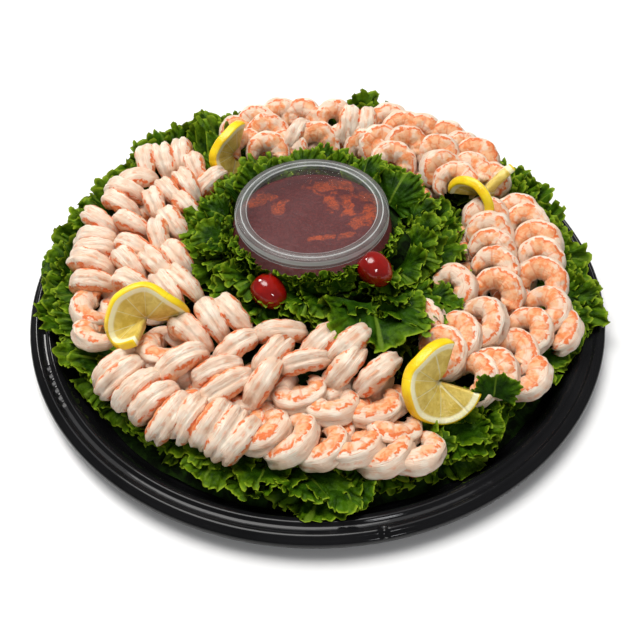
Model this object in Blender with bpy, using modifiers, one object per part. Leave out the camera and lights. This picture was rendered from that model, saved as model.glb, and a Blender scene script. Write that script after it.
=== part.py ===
"""Round catering tray of peeled shrimp with a shut tub of dip in the middle.

A thin black tray holds a bed of leaf lettuce. Four arcs of curled shrimp lie
on the bed in a ring, with a twisted lemon slice in each of the four gaps.
A clear tub with its lid pressed on holds the dip. A collar of lettuce fills
the space between tub and shrimp, and two small tomatoes lie on it.
Sizes are in metres. Z is up and the camera side is -Y.
"""

import math
import random

import bmesh
import bpy
from mathutils import Matrix, Vector
from mathutils.bvhtree import BVHTree

# Clearance left between pieces that touch on the real platter
GAP = 0.0003

# Tray
TRAY_RADIUS = 0.2286
TRAY_FLOOR_RADIUS = 0.196
TRAY_SHEET = 0.0015
TRAY_RIM_TOP = 0.0200
TRAY_SKIRT_BOTTOM = 0.0130
TRAY_STEPS = 40

# Tub of dip, a little behind the middle of the tray
TUB_CENTRE = Vector((-0.003, 0.0246, 0.0))
TUB_FOOT = 0.0018
TUB_WALL = 0.0012
TUB_SHOULDER_RADIUS = 0.0645
TUB_SHOULDER_HEIGHT = 0.0606
TUB_NECK_RADIUS = 0.0575
TUB_RIM_HEIGHT = 0.0784
TUB_STEPS = 28
SAUCE_LEVEL = 0.0635
LID_TOP = 0.0800
LID_RADIUS = 0.0607
LID_PANEL_RADIUS = 0.0500
LID_SKIRT_BOTTOM = 0.0722

# Lettuce
BED_TOP = 0.0142
BED_OUTER_RADIUS = 0.1960
COLLAR_FOOT = 0.0155
COLLAR_TOP = 0.0560
COLLAR_CENTRE = Vector((0.003, 0.031, 0.0))
COLLAR_OUTER_RADIUS = 0.1000
TUB_CLEAR_RADIUS = TUB_SHOULDER_RADIUS + 0.0008
LEAF_THICKNESS = 0.0014
OUTER_LEAVES = 17
COLLAR_LEAVES = 10

# The ring of shrimp: its inner side follows the tub, its outer side the tray
RING_CENTRE = Vector((0.0, 0.004, 0.0))
RING_INNER_ROW = 0.1135
RING_OUTER_ROW = 0.1805
RING_INNER_LIMIT = 0.1008
RING_OUTER_LIMIT = 0.1985

# Shrimp: curl radius of the body's centre line, its turn, and its half sizes
SHRIMP_CURL = 0.0118
SHRIMP_TURN = math.radians(215)
SHRIMP_HALF_DEPTH = 0.0077
SHRIMP_HALF_WIDTH = 0.0073
SHRIMP_RINGS = 5
SHRIMP_SIDES = 5
HEAP_FOOT = 0.0155
HEAP_INNER_SHARE = -0.10
HEAP_EDGE_SHARE = 0.04

# Tomatoes and lemon twists
TOMATO_HALF_LENGTH = 0.0145
TOMATO_HALF_WIDTH = 0.0124
LEMON_THICKNESS = 0.0062
LEMON_STEPS = 18
LEMON_CORE = 0.35


def clear_scene():
    """Remove every object of the open scene."""
    for ob in list(bpy.data.objects):
        bpy.data.objects.remove(ob, do_unlink=True)


def make_material(name, colour, roughness, transmission=0.0):
    """Return a Principled material."""
    material = bpy.data.materials.new(name)
    material.use_nodes = True
    shader = material.node_tree.nodes["Principled BSDF"]
    shader.inputs["Base Color"].default_value = (*colour, 1.0)
    shader.inputs["Roughness"].default_value = roughness
    shader.inputs["Metallic"].default_value = 0.0
    shader.inputs["Transmission Weight"].default_value = transmission
    return material


def add_object(name, bm, material, collection=None):
    """Turn a bmesh into a named object."""
    bmesh.ops.recalc_face_normals(bm, faces=bm.faces)
    mesh = bpy.data.meshes.new(name)
    bm.to_mesh(mesh)
    bm.free()
    ob = bpy.data.objects.new(name, mesh)
    if material is not None:
        mesh.materials.append(material)
    (collection or bpy.context.scene.collection).objects.link(ob)
    return ob


def add_turned(name, profile, steps, material, centre=Vector((0, 0, 0))):
    """Turn a profile of (radius, height) pairs about the upright axis."""
    mesh = bpy.data.meshes.new(name)
    points = [(radius, 0.0, height) for radius, height in profile]
    edges = [(i, i + 1) for i in range(len(points) - 1)]
    mesh.from_pydata(points, edges, [])
    mesh.materials.append(material)
    ob = bpy.data.objects.new(name, mesh)
    ob.location = centre
    bpy.context.scene.collection.objects.link(ob)
    screw = ob.modifiers.new("Turn", "SCREW")
    screw.axis = "Z"
    screw.angle = math.tau
    screw.steps = steps
    screw.render_steps = steps
    screw.use_merge_vertices = True
    screw.merge_threshold = 0.0001
    return ob


def build_tray(material):
    """Thin formed tray: flat floor, sloping wall, two ridges and a skirt."""
    sheet = TRAY_SHEET
    top = TRAY_RIM_TOP
    profile = [
        (0.0, sheet),
        (TRAY_FLOOR_RADIUS, sheet),
        (0.2005, 0.0032),
        (0.2085, 0.0168),
        (0.2133, top),
        (0.2160, top - 0.0017),
        (0.2200, top - 0.0017),
        (0.2224, top),
        (0.2258, top - 0.0016),
        (TRAY_RADIUS, top - 0.0042),
        (TRAY_RADIUS, TRAY_SKIRT_BOTTOM),
        (TRAY_RADIUS - 0.0011, TRAY_SKIRT_BOTTOM),
        (TRAY_RADIUS - 0.0012, top - 0.0047),
        (0.2240, top - 0.0028),
        (0.2096, top - 0.0034),
        (0.2016, 0.0026),
        (0.1975, 0.0),
        (0.0, 0.0),
    ]
    return add_turned("tray", profile, TRAY_STEPS, material)


def build_tub(material):
    """Clear round tub with a rounded shoulder under a narrower neck."""
    shoulder = TUB_SHOULDER_RADIUS
    height = TUB_SHOULDER_HEIGHT
    wall = TUB_WALL
    profile = [
        (0.0, TUB_FOOT + wall),
        (0.0485, TUB_FOOT + wall),
        (0.0515, TUB_FOOT + 0.0042),
        (shoulder - wall, height - 0.0004),
        (shoulder - wall - 0.0026, height + 0.0056),
        (TUB_NECK_RADIUS - wall + 0.0006, height + 0.0108),
        (TUB_NECK_RADIUS - wall, TUB_RIM_HEIGHT),
        (TUB_NECK_RADIUS, TUB_RIM_HEIGHT),
        (TUB_NECK_RADIUS + 0.0005, height + 0.0113),
        (shoulder - 0.0026, height + 0.0062),
        (shoulder, height),
        (0.0528, TUB_FOOT + 0.0036),
        (0.0497, TUB_FOOT),
        (0.0, TUB_FOOT),
    ]
    return add_turned("tub", profile, TUB_STEPS, material, TUB_CENTRE)


def build_sauce(material):
    """Dip that fills the tub up to its shoulder."""
    inner = TUB_SHOULDER_RADIUS - TUB_WALL - GAP
    floor = TUB_FOOT + TUB_WALL + GAP
    profile = [
        (0.0, SAUCE_LEVEL),
        (inner - 0.0020, SAUCE_LEVEL),
        (inner - 0.0001, TUB_SHOULDER_HEIGHT - 0.0004),
        (0.0511, TUB_FOOT + 0.0046),
        (0.0482, floor),
        (0.0, floor),
    ]
    return add_turned("sauce", profile, TUB_STEPS, material, TUB_CENTRE)


def build_lid(material):
    """Clear lid: sunk panel, raised flat ring and a short skirt."""
    top = LID_TOP
    profile = [
        (0.0, top - 0.0032),
        (LID_PANEL_RADIUS, top - 0.0032),
        (LID_PANEL_RADIUS + 0.0013, top),
        (0.0594, top),
        (LID_RADIUS, LID_SKIRT_BOTTOM),
        (LID_RADIUS - 0.0010, LID_SKIRT_BOTTOM),
        (0.0586, top - 0.0011),
        (LID_PANEL_RADIUS + 0.0022, top - 0.0011),
        (LID_PANEL_RADIUS + 0.0010, top - 0.0042),
        (0.0, top - 0.0042),
    ]
    return add_turned("tub_lid", profile, TUB_STEPS, material, TUB_CENTRE)


def build_tomato(name, centre, turn, tilt, material):
    """Small oblong tomato, a little fuller at its stem end."""
    bm = bmesh.new()
    bmesh.ops.create_uvsphere(bm, u_segments=12, v_segments=8, radius=1.0)
    for vert in bm.verts:
        along = vert.co.z
        full = 1.0 + 0.06 * along
        vert.co.x *= TOMATO_HALF_WIDTH * full
        vert.co.y *= TOMATO_HALF_WIDTH * full
        vert.co.z = along * TOMATO_HALF_LENGTH
    spin = Matrix.Rotation(turn, 4, "Z") @ Matrix.Rotation(tilt, 4, "Y")
    ob = add_object(name, bm, material)
    ob.location = centre
    ob.rotation_euler = spin.to_euler()
    return ob


def twist_direction(twist, share):
    """Unit vector from the middle of a twisted slice to a point of its rind."""
    turn = math.pi * share
    azimuth = twist["start"] + twist["sweep"] * share
    azimuth += twist["bow"] * math.sin(turn) + twist["swing"] * math.sin(2 * turn)
    azimuth = math.radians(azimuth)
    rise = twist["rise_start"] + (twist["rise_end"] - twist["rise_start"]) * share
    rise += twist["arch"] * math.sin(math.pi * share ** (2.0 ** twist["skew"]))
    rise += twist["wave"] * math.sin(2 * turn) + twist["ripple"] * math.sin(3 * turn)
    rise = math.radians(rise)
    return Vector((
        math.cos(rise) * math.cos(azimuth),
        math.cos(rise) * math.sin(azimuth),
        math.sin(rise),
    ))


def twist_normal(twist, share):
    """Unit vector square to the slice along one of its radii."""
    before = twist_direction(twist, max(share - 0.01, 0.0))
    after = twist_direction(twist, min(share + 0.01, 1.0))
    return before.cross(after).normalized()


def build_twist(name, twist, material):
    """Lemon slice cut to its middle and twisted so that it stands up."""
    bm = bmesh.new()
    half = LEMON_THICKNESS / 2
    apex = bm.verts.new((0.0, 0.0, 0.0))
    sides = {1: [], -1: []}
    for step in range(LEMON_STEPS + 1):
        share = step / LEMON_STEPS
        out = twist_direction(twist, share) * twist["radius"]
        square = twist_normal(twist, share) * half
        for sign in sides:
            near = bm.verts.new(out * LEMON_CORE + square * sign * 0.9)
            far = bm.verts.new(out + square * sign)
            sides[sign].append((near, far))
    for pairs in sides.values():
        for (near_a, far_a), (near_b, far_b) in zip(pairs, pairs[1:]):
            bm.faces.new((apex, near_a, near_b))
            bm.faces.new((near_a, far_a, far_b))
            bm.faces.new((near_a, far_b, near_b))
    rims = [[far for _, far in sides[sign]] for sign in (1, -1)]
    for step in range(LEMON_STEPS):
        up_a, up_b = rims[0][step:step + 2]
        down_a, down_b = rims[1][step:step + 2]
        bm.faces.new((up_a, up_b, down_b))
        bm.faces.new((up_a, down_b, down_a))
    for end in (0, -1):
        near_up, far_up = sides[1][end]
        near_down, far_down = sides[-1][end]
        bm.faces.new((apex, near_up, near_down))
        bm.faces.new((near_up, far_up, far_down, near_down))
    ob = add_object(name, bm, material)
    ob.location = twist["centre"]
    return ob


def add_strip(bm, sections, closed):
    """Skin a run of equal closed sections, joined end to end or capped."""
    rings = [[bm.verts.new(point) for point in section] for section in sections]
    pairs = list(zip(rings, rings[1:]))
    if closed:
        pairs.append((rings[-1], rings[0]))
    for ring_a, ring_b in pairs:
        count = len(ring_a)
        for i in range(count):
            j = (i + 1) % count
            bm.faces.new((ring_a[i], ring_a[j], ring_b[j], ring_b[i]))
    if not closed:
        bm.faces.new(rings[0])
        bm.faces.new(reversed(rings[-1]))


def tray_height(radius):
    """Height that a leaf keeps above, from the tray's floor to its rim."""
    share = (radius - BED_OUTER_RADIUS + 0.006) / 0.014
    share = min(max(share, 0.0), 1.0)
    return TRAY_SHEET + (TRAY_RIM_TOP - TRAY_SHEET) * share


def add_leaf(bm, leaf, rng):
    """Thin wavy fan leaf, its base low and its ruffled edge out and up."""
    across = leaf["cells_across"]
    along = leaf["cells_along"]
    phase = rng.uniform(0.0, math.tau)
    scallop = [rng.uniform(0.86, 1.0) for _ in range(across + 1)]
    layers = []
    for sign in (1, -1):
        rows = []
        for j in range(along + 1):
            v = j / along
            row = []
            for i in range(across + 1):
                u = 2.0 * i / across - 1.0
                spread = 0.45 + 0.55 * v
                radius = leaf["base"] + leaf["reach"] * v * (scallop[i] - 0.18 * u * u)
                angle = leaf["angle"] + u * spread * leaf["width"] / (2 * radius)
                wave = math.sin(leaf["waves"] * math.pi * u + phase)
                height = leaf["foot"] + leaf["rise"] * v ** leaf["bend"]
                height += leaf["ruffle"] * v ** 1.4 * wave
                point = leaf["centre"].copy()
                point.x += radius * math.cos(angle)
                point.y += radius * math.sin(angle)
                lowest = tray_height(point.length) + 0.0012 + LEAF_THICKNESS / 2
                point.z = max(height, lowest) + sign * LEAF_THICKNESS / 2
                row.append(bm.verts.new(point))
            rows.append(row)
        layers.append(rows)
    for rows in layers:
        for j in range(along):
            for i in range(across):
                a, b = rows[j][i], rows[j][i + 1]
                c, d = rows[j + 1][i + 1], rows[j + 1][i]
                bm.faces.new((a, b, c))
                bm.faces.new((a, c, d))
    top, bottom = layers
    border = [(0, i) for i in range(across)]
    border += [(j, across) for j in range(along)]
    border += [(along, i) for i in range(across, 0, -1)]
    border += [(j, 0) for j in range(along, 0, -1)]
    for (ja, ia), (jb, ib) in zip(border, border[1:] + border[:1]):
        bm.faces.new((top[ja][ia], top[jb][ib], bottom[jb][ib], bottom[ja][ia]))


def keep_main_body(ob):
    """Keep the largest shell, so that no scrap or sealed hollow remains."""
    bm = bmesh.new()
    bm.from_mesh(ob.data)
    bm.faces.ensure_lookup_table()
    seen = set()
    shells = []
    for face in bm.faces:
        if face.index in seen:
            continue
        shell = [face]
        seen.add(face.index)
        for current in shell:
            for edge in current.edges:
                for other in edge.link_faces:
                    if other.index not in seen:
                        seen.add(other.index)
                        shell.append(other)
        shells.append(shell)
    shells.sort(key=len, reverse=True)
    loose = [face for shell in shells[1:] for face in shell]
    if loose:
        bmesh.ops.delete(bm, geom=loose, context="FACES")
    bm.to_mesh(ob.data)
    bm.free()


def fuse(name, core, pieces, material):
    """Join a core and the pieces that show on it into one solid."""
    group = bpy.data.collections.new(name + "_pieces")
    bpy.context.scene.collection.children.link(group)
    for index, piece in enumerate(pieces):
        add_object(name + "_piece_" + str(index), piece, None, group)
    ob = add_object(name, core, material)
    union = ob.modifiers.new("Join", "BOOLEAN")
    union.operation = "UNION"
    union.operand_type = "COLLECTION"
    union.collection = group
    union.solver = "MANIFOLD"
    bpy.context.view_layer.update()
    graph = bpy.context.evaluated_depsgraph_get()
    joined = bpy.data.meshes.new_from_object(ob.evaluated_get(graph))
    ob.modifiers.clear()
    ob.data = joined
    joined.materials.clear()
    joined.materials.append(material)
    for piece in list(group.objects):
        bpy.data.objects.remove(piece, do_unlink=True)
    bpy.data.collections.remove(group)
    keep_main_body(ob)
    return ob


def ring_sections(outer_centre, outer, foot, top_at, shares, steps):
    """Sections of a low ring round the tub; its top follows a rule of the angle."""
    middle_share, edge_share = shares
    sections = []
    for step in range(steps):
        angle = math.tau * step / steps
        ray = Vector((math.cos(angle), math.sin(angle), 0.0))
        near = TUB_CENTRE + ray * TUB_CLEAR_RADIUS
        far = outer_centre + ray * outer
        middle = near.lerp(far, 0.55)
        top = top_at(angle)
        half = foot + middle_share * (top - foot)
        lower = foot + edge_share * (top - foot)
        sections.append([
            near + Vector((0, 0, foot)),
            far + Vector((0, 0, foot)),
            far + Vector((0, 0, lower)),
            middle + Vector((0, 0, half)),
            near + Vector((0, 0, top)),
        ])
    return sections


def build_bed(material):
    """Lettuce under the shrimp, with ruffled leaves out to the tray's rim."""
    rng = random.Random(11)
    core = bmesh.new()
    foot = TRAY_SHEET + GAP
    middle = Vector((0, 0, 0))
    sections = ring_sections(
        middle, BED_OUTER_RADIUS, foot, lambda angle: BED_TOP, (1.0, 0.9), 36
    )
    add_strip(core, sections, True)
    leaves = []
    for index in range(OUTER_LEAVES):
        angle = math.tau * (index + rng.uniform(-0.2, 0.2)) / OUTER_LEAVES
        side = abs(math.cos(angle))
        back = max(math.sin(angle), 0.0)
        reach = 0.024 + 0.014 * side + 0.008 * back + rng.uniform(-0.002, 0.002)
        leaf = {
            "centre": RING_CENTRE,
            "angle": angle,
            "base": 0.186,
            "reach": reach,
            "width": 0.076,
            "foot": 0.0105,
            "rise": 0.012 + 0.002 * side - 0.002 * back + rng.uniform(-0.003, 0.003),
            "bend": 2.6,
            "waves": 2.0,
            "ruffle": 0.0052,
            "cells_across": 4,
            "cells_along": 3,
        }
        piece = bmesh.new()
        add_leaf(piece, leaf, rng)
        leaves.append(piece)
    return fuse("lettuce_bed", core, leaves, material)


def build_collar(material, tomatoes):
    """Lettuce packed between tub and shrimp, raised under the tomatoes."""
    rng = random.Random(23)

    def top_at(angle):
        top = COLLAR_TOP + 0.0030 * math.sin(5 * angle + 0.6)
        top += 0.0050 * max(math.sin(angle), 0.0)
        for centre in tomatoes:
            away = centre - TUB_CENTRE
            turn = math.atan2(away.y, away.x) - angle
            turn = (turn + math.pi) % math.tau - math.pi
            under = centre.z - TOMATO_HALF_WIDTH - 0.0012
            near = math.exp(-((turn / 0.30) ** 2))
            top += (under - top) * near
        return top

    core = bmesh.new()
    sections = ring_sections(
        COLLAR_CENTRE, COLLAR_OUTER_RADIUS, COLLAR_FOOT, top_at, (0.80, 0.45), 32
    )
    add_strip(core, sections, True)
    leaves = []
    for index in range(COLLAR_LEAVES):
        angle = math.tau * (index + 0.5 + rng.uniform(-0.15, 0.15)) / COLLAR_LEAVES
        back = max(math.sin(angle), 0.0)
        leaf = {
            "centre": TUB_CENTRE,
            "angle": angle,
            "base": 0.0690,
            "reach": 0.0300 + 0.0060 * math.sin(angle),
            "width": 0.040,
            "foot": 0.0480,
            "rise": 0.018 * back - 0.004 + rng.uniform(0.0, 0.006),
            "bend": 0.9,
            "waves": 2.0,
            "ruffle": 0.0050,
            "cells_across": 5,
            "cells_along": 3,
        }
        piece = bmesh.new()
        add_leaf(piece, leaf, rng)
        if leaf_is_clear(piece, tomatoes):
            leaves.append(piece)
        else:
            piece.free()
    return fuse("lettuce_collar", core, leaves, material)


def leaf_is_clear(piece, tomatoes):
    """Tell whether a leaf stays off tomatoes, tub and shrimp."""
    for vert in piece.verts:
        if (vert.co - COLLAR_CENTRE).xy.length > RING_INNER_LIMIT - 0.0005:
            return False
        for centre in tomatoes:
            if (vert.co - centre).length < TOMATO_HALF_LENGTH + 0.003:
                return False
    return True


def shrimp_piece(place):
    """One peeled shrimp: a tapering body bent into a C, back side up."""
    bm = bmesh.new()
    sections = []
    for ring in range(SHRIMP_RINGS):
        share = ring / (SHRIMP_RINGS - 1)
        angle = math.pi / 2 + SHRIMP_TURN * (0.5 - share)
        fat = 0.62 + 0.60 * math.sin(math.pi * (0.12 + 0.62 * share)) - 0.62 * share ** 2
        out = Vector((math.cos(angle), 0.0, math.sin(angle)))
        middle = out * SHRIMP_CURL
        section = []
        for side in range(SHRIMP_SIDES):
            turn = math.tau * side / SHRIMP_SIDES
            depth = SHRIMP_HALF_DEPTH * fat * math.cos(turn)
            width = SHRIMP_HALF_WIDTH * fat * math.sin(turn)
            section.append(middle + out * depth + Vector((0.0, width, 0.0)))
        sections.append(section)
    add_strip(bm, sections, False)
    bm.transform(place)
    return bm


def ring_spot(angle, share):
    """Point of the ring between its inner row, share 0, and its outer row, share 1."""
    ray = Vector((math.cos(angle), math.sin(angle), 0.0))
    near = COLLAR_CENTRE + ray * RING_INNER_ROW
    far = RING_CENTRE + ray * RING_OUTER_ROW
    return near.lerp(far, share)


def shrimp_place(spot, height, yaw, lean, pitch):
    """Matrix that sets a shrimp in the ring."""
    move = Matrix.Translation(spot + Vector((0.0, 0.0, height)))
    turn = Matrix.Rotation(yaw, 4, "Z") @ Matrix.Rotation(pitch, 4, "Y")
    return move @ turn @ Matrix.Rotation(lean, 4, "X")


def shrimp_fits(piece, toppings):
    """Tell whether a shrimp stays in the ring and off the lemon twists."""
    for vert in piece.verts:
        radius = (vert.co - RING_CENTRE).xy.length
        if (vert.co - COLLAR_CENTRE).xy.length < RING_INNER_LIMIT + 0.0005:
            return False
        if radius > RING_OUTER_LIMIT:
            return False
        if vert.co.z < HEAP_FOOT + 0.7 * max(radius - 0.188, 0.0):
            return False
    tree = BVHTree.FromBMesh(piece)
    for topping in toppings:
        if topping.overlap(tree):
            return False
        for vert in piece.verts:
            if topping.find_nearest(vert.co, 0.0010)[0] is not None:
                return False
    return True


def build_shrimp_arc(name, arc, toppings, material):
    """One arc of the shrimp ring: a low core with the shrimp that show."""
    rng = random.Random(arc["seed"])
    core = bmesh.new()
    sections = []
    steps = 12
    for step in range(steps + 1):
        angle = math.radians(arc["start"] + (arc["end"] - arc["start"]) * step / steps)
        top = arc["core_top"] - 0.010 * abs(2 * step / steps - 1) ** 6
        near = ring_spot(angle, HEAP_INNER_SHARE)
        far = ring_spot(angle, arc["rows"][0]["share"] + HEAP_EDGE_SHARE)
        sections.append([
            near + Vector((0, 0, HEAP_FOOT)),
            far + Vector((0, 0, HEAP_FOOT)),
            near.lerp(far, 0.94) + Vector((0, 0, top)),
            near.lerp(far, 0.05) + Vector((0, 0, top)),
        ])
    add_strip(core, sections, False)
    pieces = []
    for row in arc["rows"]:
        for index in range(row["count"]):
            share = (index + 0.5) / row["count"]
            angle = row["start"] + (row["end"] - row["start"]) * share
            yaw = row["yaw"][0] + (row["yaw"][1] - row["yaw"][0]) * share
            tilt = row["lean"][0] + (row["lean"][1] - row["lean"][0]) * share
            yaw = math.radians(yaw + rng.uniform(-9, 9))
            tilt = math.radians(tilt + rng.uniform(-10, 10))
            across = row["share"] + rng.uniform(-0.02, 0.02)
            turn = math.radians(angle + rng.uniform(-1.0, 1.0))
            level = row["height"] + rng.uniform(-0.0015, 0.0015)
            pitch = math.radians(rng.uniform(-8, 8))
            for shift, drop in NUDGES:
                spot = ring_spot(turn, across + shift)
                place = shrimp_place(spot, level - drop, yaw, tilt, pitch)
                piece = shrimp_piece(place)
                if shrimp_fits(piece, toppings):
                    pieces.append(piece)
                    break
                piece.free()
    return fuse(name, core, pieces, material)


# Each twist: where its middle lies, and how its radii turn and rise from one
# side of the cut to the other, in degrees
TWISTS = {
    "lemon_twist_front_left": {
        "centre": Vector((-0.1264, -0.0576, 0.0455)), "radius": 0.0336,
        "start": -101, "sweep": -256, "bow": -12, "swing": 0,
        "rise_start": 14, "rise_end": 7, "arch": -20, "skew": 0.0,
        "wave": -1, "ripple": -16,
    },
    "lemon_twist_front_right": {
        "centre": Vector((0.0841, -0.1214, 0.0440)), "radius": 0.0313,
        "start": -20, "sweep": -243, "bow": -21, "swing": -1,
        "rise_start": -15, "rise_end": 31, "arch": 11, "skew": 0.0,
        "wave": -18, "ripple": 1,
    },
    "lemon_twist_back_left": {
        "centre": Vector((-0.0735, 0.1420, 0.0422)), "radius": 0.0304,
        "start": 94, "sweep": 181, "bow": 3, "swing": -1,
        "rise_start": 31, "rise_end": -2, "arch": 7, "skew": 0.18,
        "wave": -23, "ripple": -20,
    },
    "lemon_twist_back_right": {
        "centre": Vector((0.1431, 0.0691, 0.0520)), "radius": 0.0347,
        "start": 169, "sweep": -147, "bow": 11, "swing": 6,
        "rise_start": 6, "rise_end": 50, "arch": -106, "skew": 1.46,
        "wave": -18, "ripple": 7,
    },
}

# Moves outward and down that are tried in turn where a shrimp finds no room
NUDGES = (
    (0.0, 0.0),
    (-0.06, 0.0),
    (0.06, 0.0),
    (-0.12, 0.001),
    (0.12, 0.001),
    (0.0, 0.005),
    (-0.06, 0.009),
    (0.20, 0.003),
    (-0.20, 0.003),
)


def shrimp_row(share, count, ends, yaw, lean, height):
    """One row of an arc, its end angles, yaws and leans in degrees."""
    return {
        "share": share, "count": count, "start": ends[0], "end": ends[1],
        "yaw": yaw, "lean": lean, "height": height,
    }


ARCS = {
    "shrimp_arc_front": {
        "seed": 3, "start": 209.0, "end": 291.0, "core_top": 0.0330,
        "rows": [
            shrimp_row(0.84, 13, (208, 296), (38, 55), (14, 50), 0.0335),
            shrimp_row(0.57, 9, (214, 292), (35, 40), (30, 35), 0.0375),
            shrimp_row(0.30, 7, (216, 288), (-20, 45), (14, 25), 0.0385),
            shrimp_row(0.03, 5, (226, 290), (-45, 45), (10, 20), 0.0380),
        ],
    },
    "shrimp_arc_right": {
        "seed": 5, "start": -42.0, "end": 18.0, "core_top": 0.0320,
        "rows": [
            shrimp_row(1.00, 8, (-44, 22), (60, 110), (60, 60), 0.0350),
            shrimp_row(0.54, 6, (-44, 20), (50, 110), (55, 55), 0.0390),
            shrimp_row(0.10, 6, (-46, 14), (60, 110), (40, 40), 0.0360),
        ],
    },
    "shrimp_arc_back": {
        "seed": 7, "start": 39.0, "end": 106.0, "core_top": 0.0390,
        "rows": [
            shrimp_row(0.96, 10, (35, 110), (125, 62), (-15, -15), 0.0440),
            shrimp_row(0.50, 8, (36, 106), (130, 60), (-25, -25), 0.0430),
            shrimp_row(0.08, 4, (40, 100), (150, 60), (-30, -30), 0.0350),
        ],
    },
    "shrimp_arc_left": {
        "seed": 9, "start": 125.0, "end": 199.0, "core_top": 0.0330,
        "rows": [
            shrimp_row(1.00, 10, (124, 200), (-30, 8), (12, 12), 0.0350),
            shrimp_row(0.56, 8, (126, 200), (-50, -45), (14, 14), 0.0385),
            shrimp_row(0.14, 6, (130, 202), (-55, -50), (12, 12), 0.0360),
        ],
    },
}

TOMATOES = {
    "tomato_left": (Vector((-0.0356, -0.0470, 0.0602)), 2.45, 1.25),
    "tomato_right": (Vector((0.0434, -0.0354, 0.0700)), 0.60, 1.10),
}


def main():
    clear_scene()
    black = make_material("tray_black_plastic", (0.012, 0.012, 0.013), 0.22)
    clear = make_material("tub_clear_plastic", (0.80, 0.82, 0.80), 0.12, 0.9)
    cap = make_material("lid_clear_plastic", (0.72, 0.74, 0.72), 0.18, 0.9)
    dip = make_material("sauce_red", (0.16, 0.03, 0.03), 0.35)
    leaf = make_material("lettuce_green", (0.10, 0.24, 0.02), 0.42)
    flesh = make_material("shrimp_flesh", (0.86, 0.62, 0.50), 0.38)
    rind = make_material("lemon_yellow", (0.95, 0.66, 0.04), 0.40)
    skin = make_material("tomato_red", (0.36, 0.012, 0.01), 0.16)

    build_tray(black)
    build_tub(clear)
    build_sauce(dip)
    build_lid(cap)

    for name, (centre, turn, tilt) in TOMATOES.items():
        build_tomato(name, centre, turn, tilt, skin)
    tomato_centres = [centre for centre, _, _ in TOMATOES.values()]

    toppings = []
    for name, twist in TWISTS.items():
        ob = build_twist(name, twist, rind)
        shape = bmesh.new()
        shape.from_mesh(ob.data)
        shape.transform(Matrix.Translation(twist["centre"]))
        toppings.append(BVHTree.FromBMesh(shape))
        shape.free()

    build_bed(leaf)
    build_collar(leaf, tomato_centres)
    for name, arc in ARCS.items():
        build_shrimp_arc(name, arc, toppings, flesh)


main()
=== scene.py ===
"""Looks of a round shrimp platter: black tray, lettuce, four arcs of cooked
shrimp, lemon twists, two small tomatoes and a shut tub of cocktail sauce.
"""

import math
import random

import bpy
import numpy as np
from mathutils import Matrix, Vector


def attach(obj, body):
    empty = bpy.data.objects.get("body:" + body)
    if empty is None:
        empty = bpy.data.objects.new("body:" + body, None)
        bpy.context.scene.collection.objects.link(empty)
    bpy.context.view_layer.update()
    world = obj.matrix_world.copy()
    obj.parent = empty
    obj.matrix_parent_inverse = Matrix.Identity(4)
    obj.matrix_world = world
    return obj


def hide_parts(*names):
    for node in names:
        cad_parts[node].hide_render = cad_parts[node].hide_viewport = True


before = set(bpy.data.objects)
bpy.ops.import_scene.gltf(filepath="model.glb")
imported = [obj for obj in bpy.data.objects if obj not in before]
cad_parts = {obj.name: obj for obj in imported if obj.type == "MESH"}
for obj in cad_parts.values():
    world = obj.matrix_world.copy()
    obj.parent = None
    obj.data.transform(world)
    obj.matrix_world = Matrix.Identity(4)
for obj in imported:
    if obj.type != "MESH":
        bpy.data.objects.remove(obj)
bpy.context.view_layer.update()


# The platter stands on plain pale paper, under a wide soft lamp, a key lamp
# from behind on the left, a weak fill from the front and one broad sun. The
# camera looks down on the middle of the platter from the front.
LOOK_DOWN = math.radians(46.807)
CAMERA_ROLL = math.radians(-0.948)
CAMERA_DISTANCE = 0.7320
LOOKED_AT_HEIGHT = 0.016
LENS = 50.625
SENSOR_WIDTH = 36.0
LENS_SHIFT = (0.00473, -0.05322)
NEAREST_SEEN = 0.01

camera_data = bpy.data.cameras.new("camera")
camera_data.lens = LENS
camera_data.sensor_width = SENSOR_WIDTH
camera_data.shift_x, camera_data.shift_y = LENS_SHIFT
camera_data.clip_start = NEAREST_SEEN
camera = bpy.data.objects.new("camera", camera_data)
bpy.context.scene.collection.objects.link(camera)
toward_camera = Vector((0.0, -math.cos(LOOK_DOWN), math.sin(LOOK_DOWN)))
level = Vector((1.0, 0.0, 0.0))
upward = Vector((0.0, math.sin(LOOK_DOWN), math.cos(LOOK_DOWN)))
right = level * math.cos(CAMERA_ROLL) + upward * math.sin(CAMERA_ROLL)
up = upward * math.cos(CAMERA_ROLL) - level * math.sin(CAMERA_ROLL)
turn = Matrix((right, up, toward_camera)).transposed()
spot = toward_camera * CAMERA_DISTANCE + Vector((0.0, 0.0, LOOKED_AT_HEIGHT))
camera.matrix_world = Matrix.Translation(spot) @ turn.to_4x4()
bpy.context.scene.camera = camera


def add_lamp(name, place, aim, size, power, colour):
    data = bpy.data.lights.new(name, "AREA")
    data.shape = "DISK"
    data.size = size
    data.energy = power
    data.color = colour
    lamp = bpy.data.objects.new(name, data)
    lamp.location = place
    lamp.rotation_euler = (Vector(aim) - Vector(place)).to_track_quat("-Z", "Y").to_euler()
    bpy.context.scene.collection.objects.link(lamp)


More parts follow.
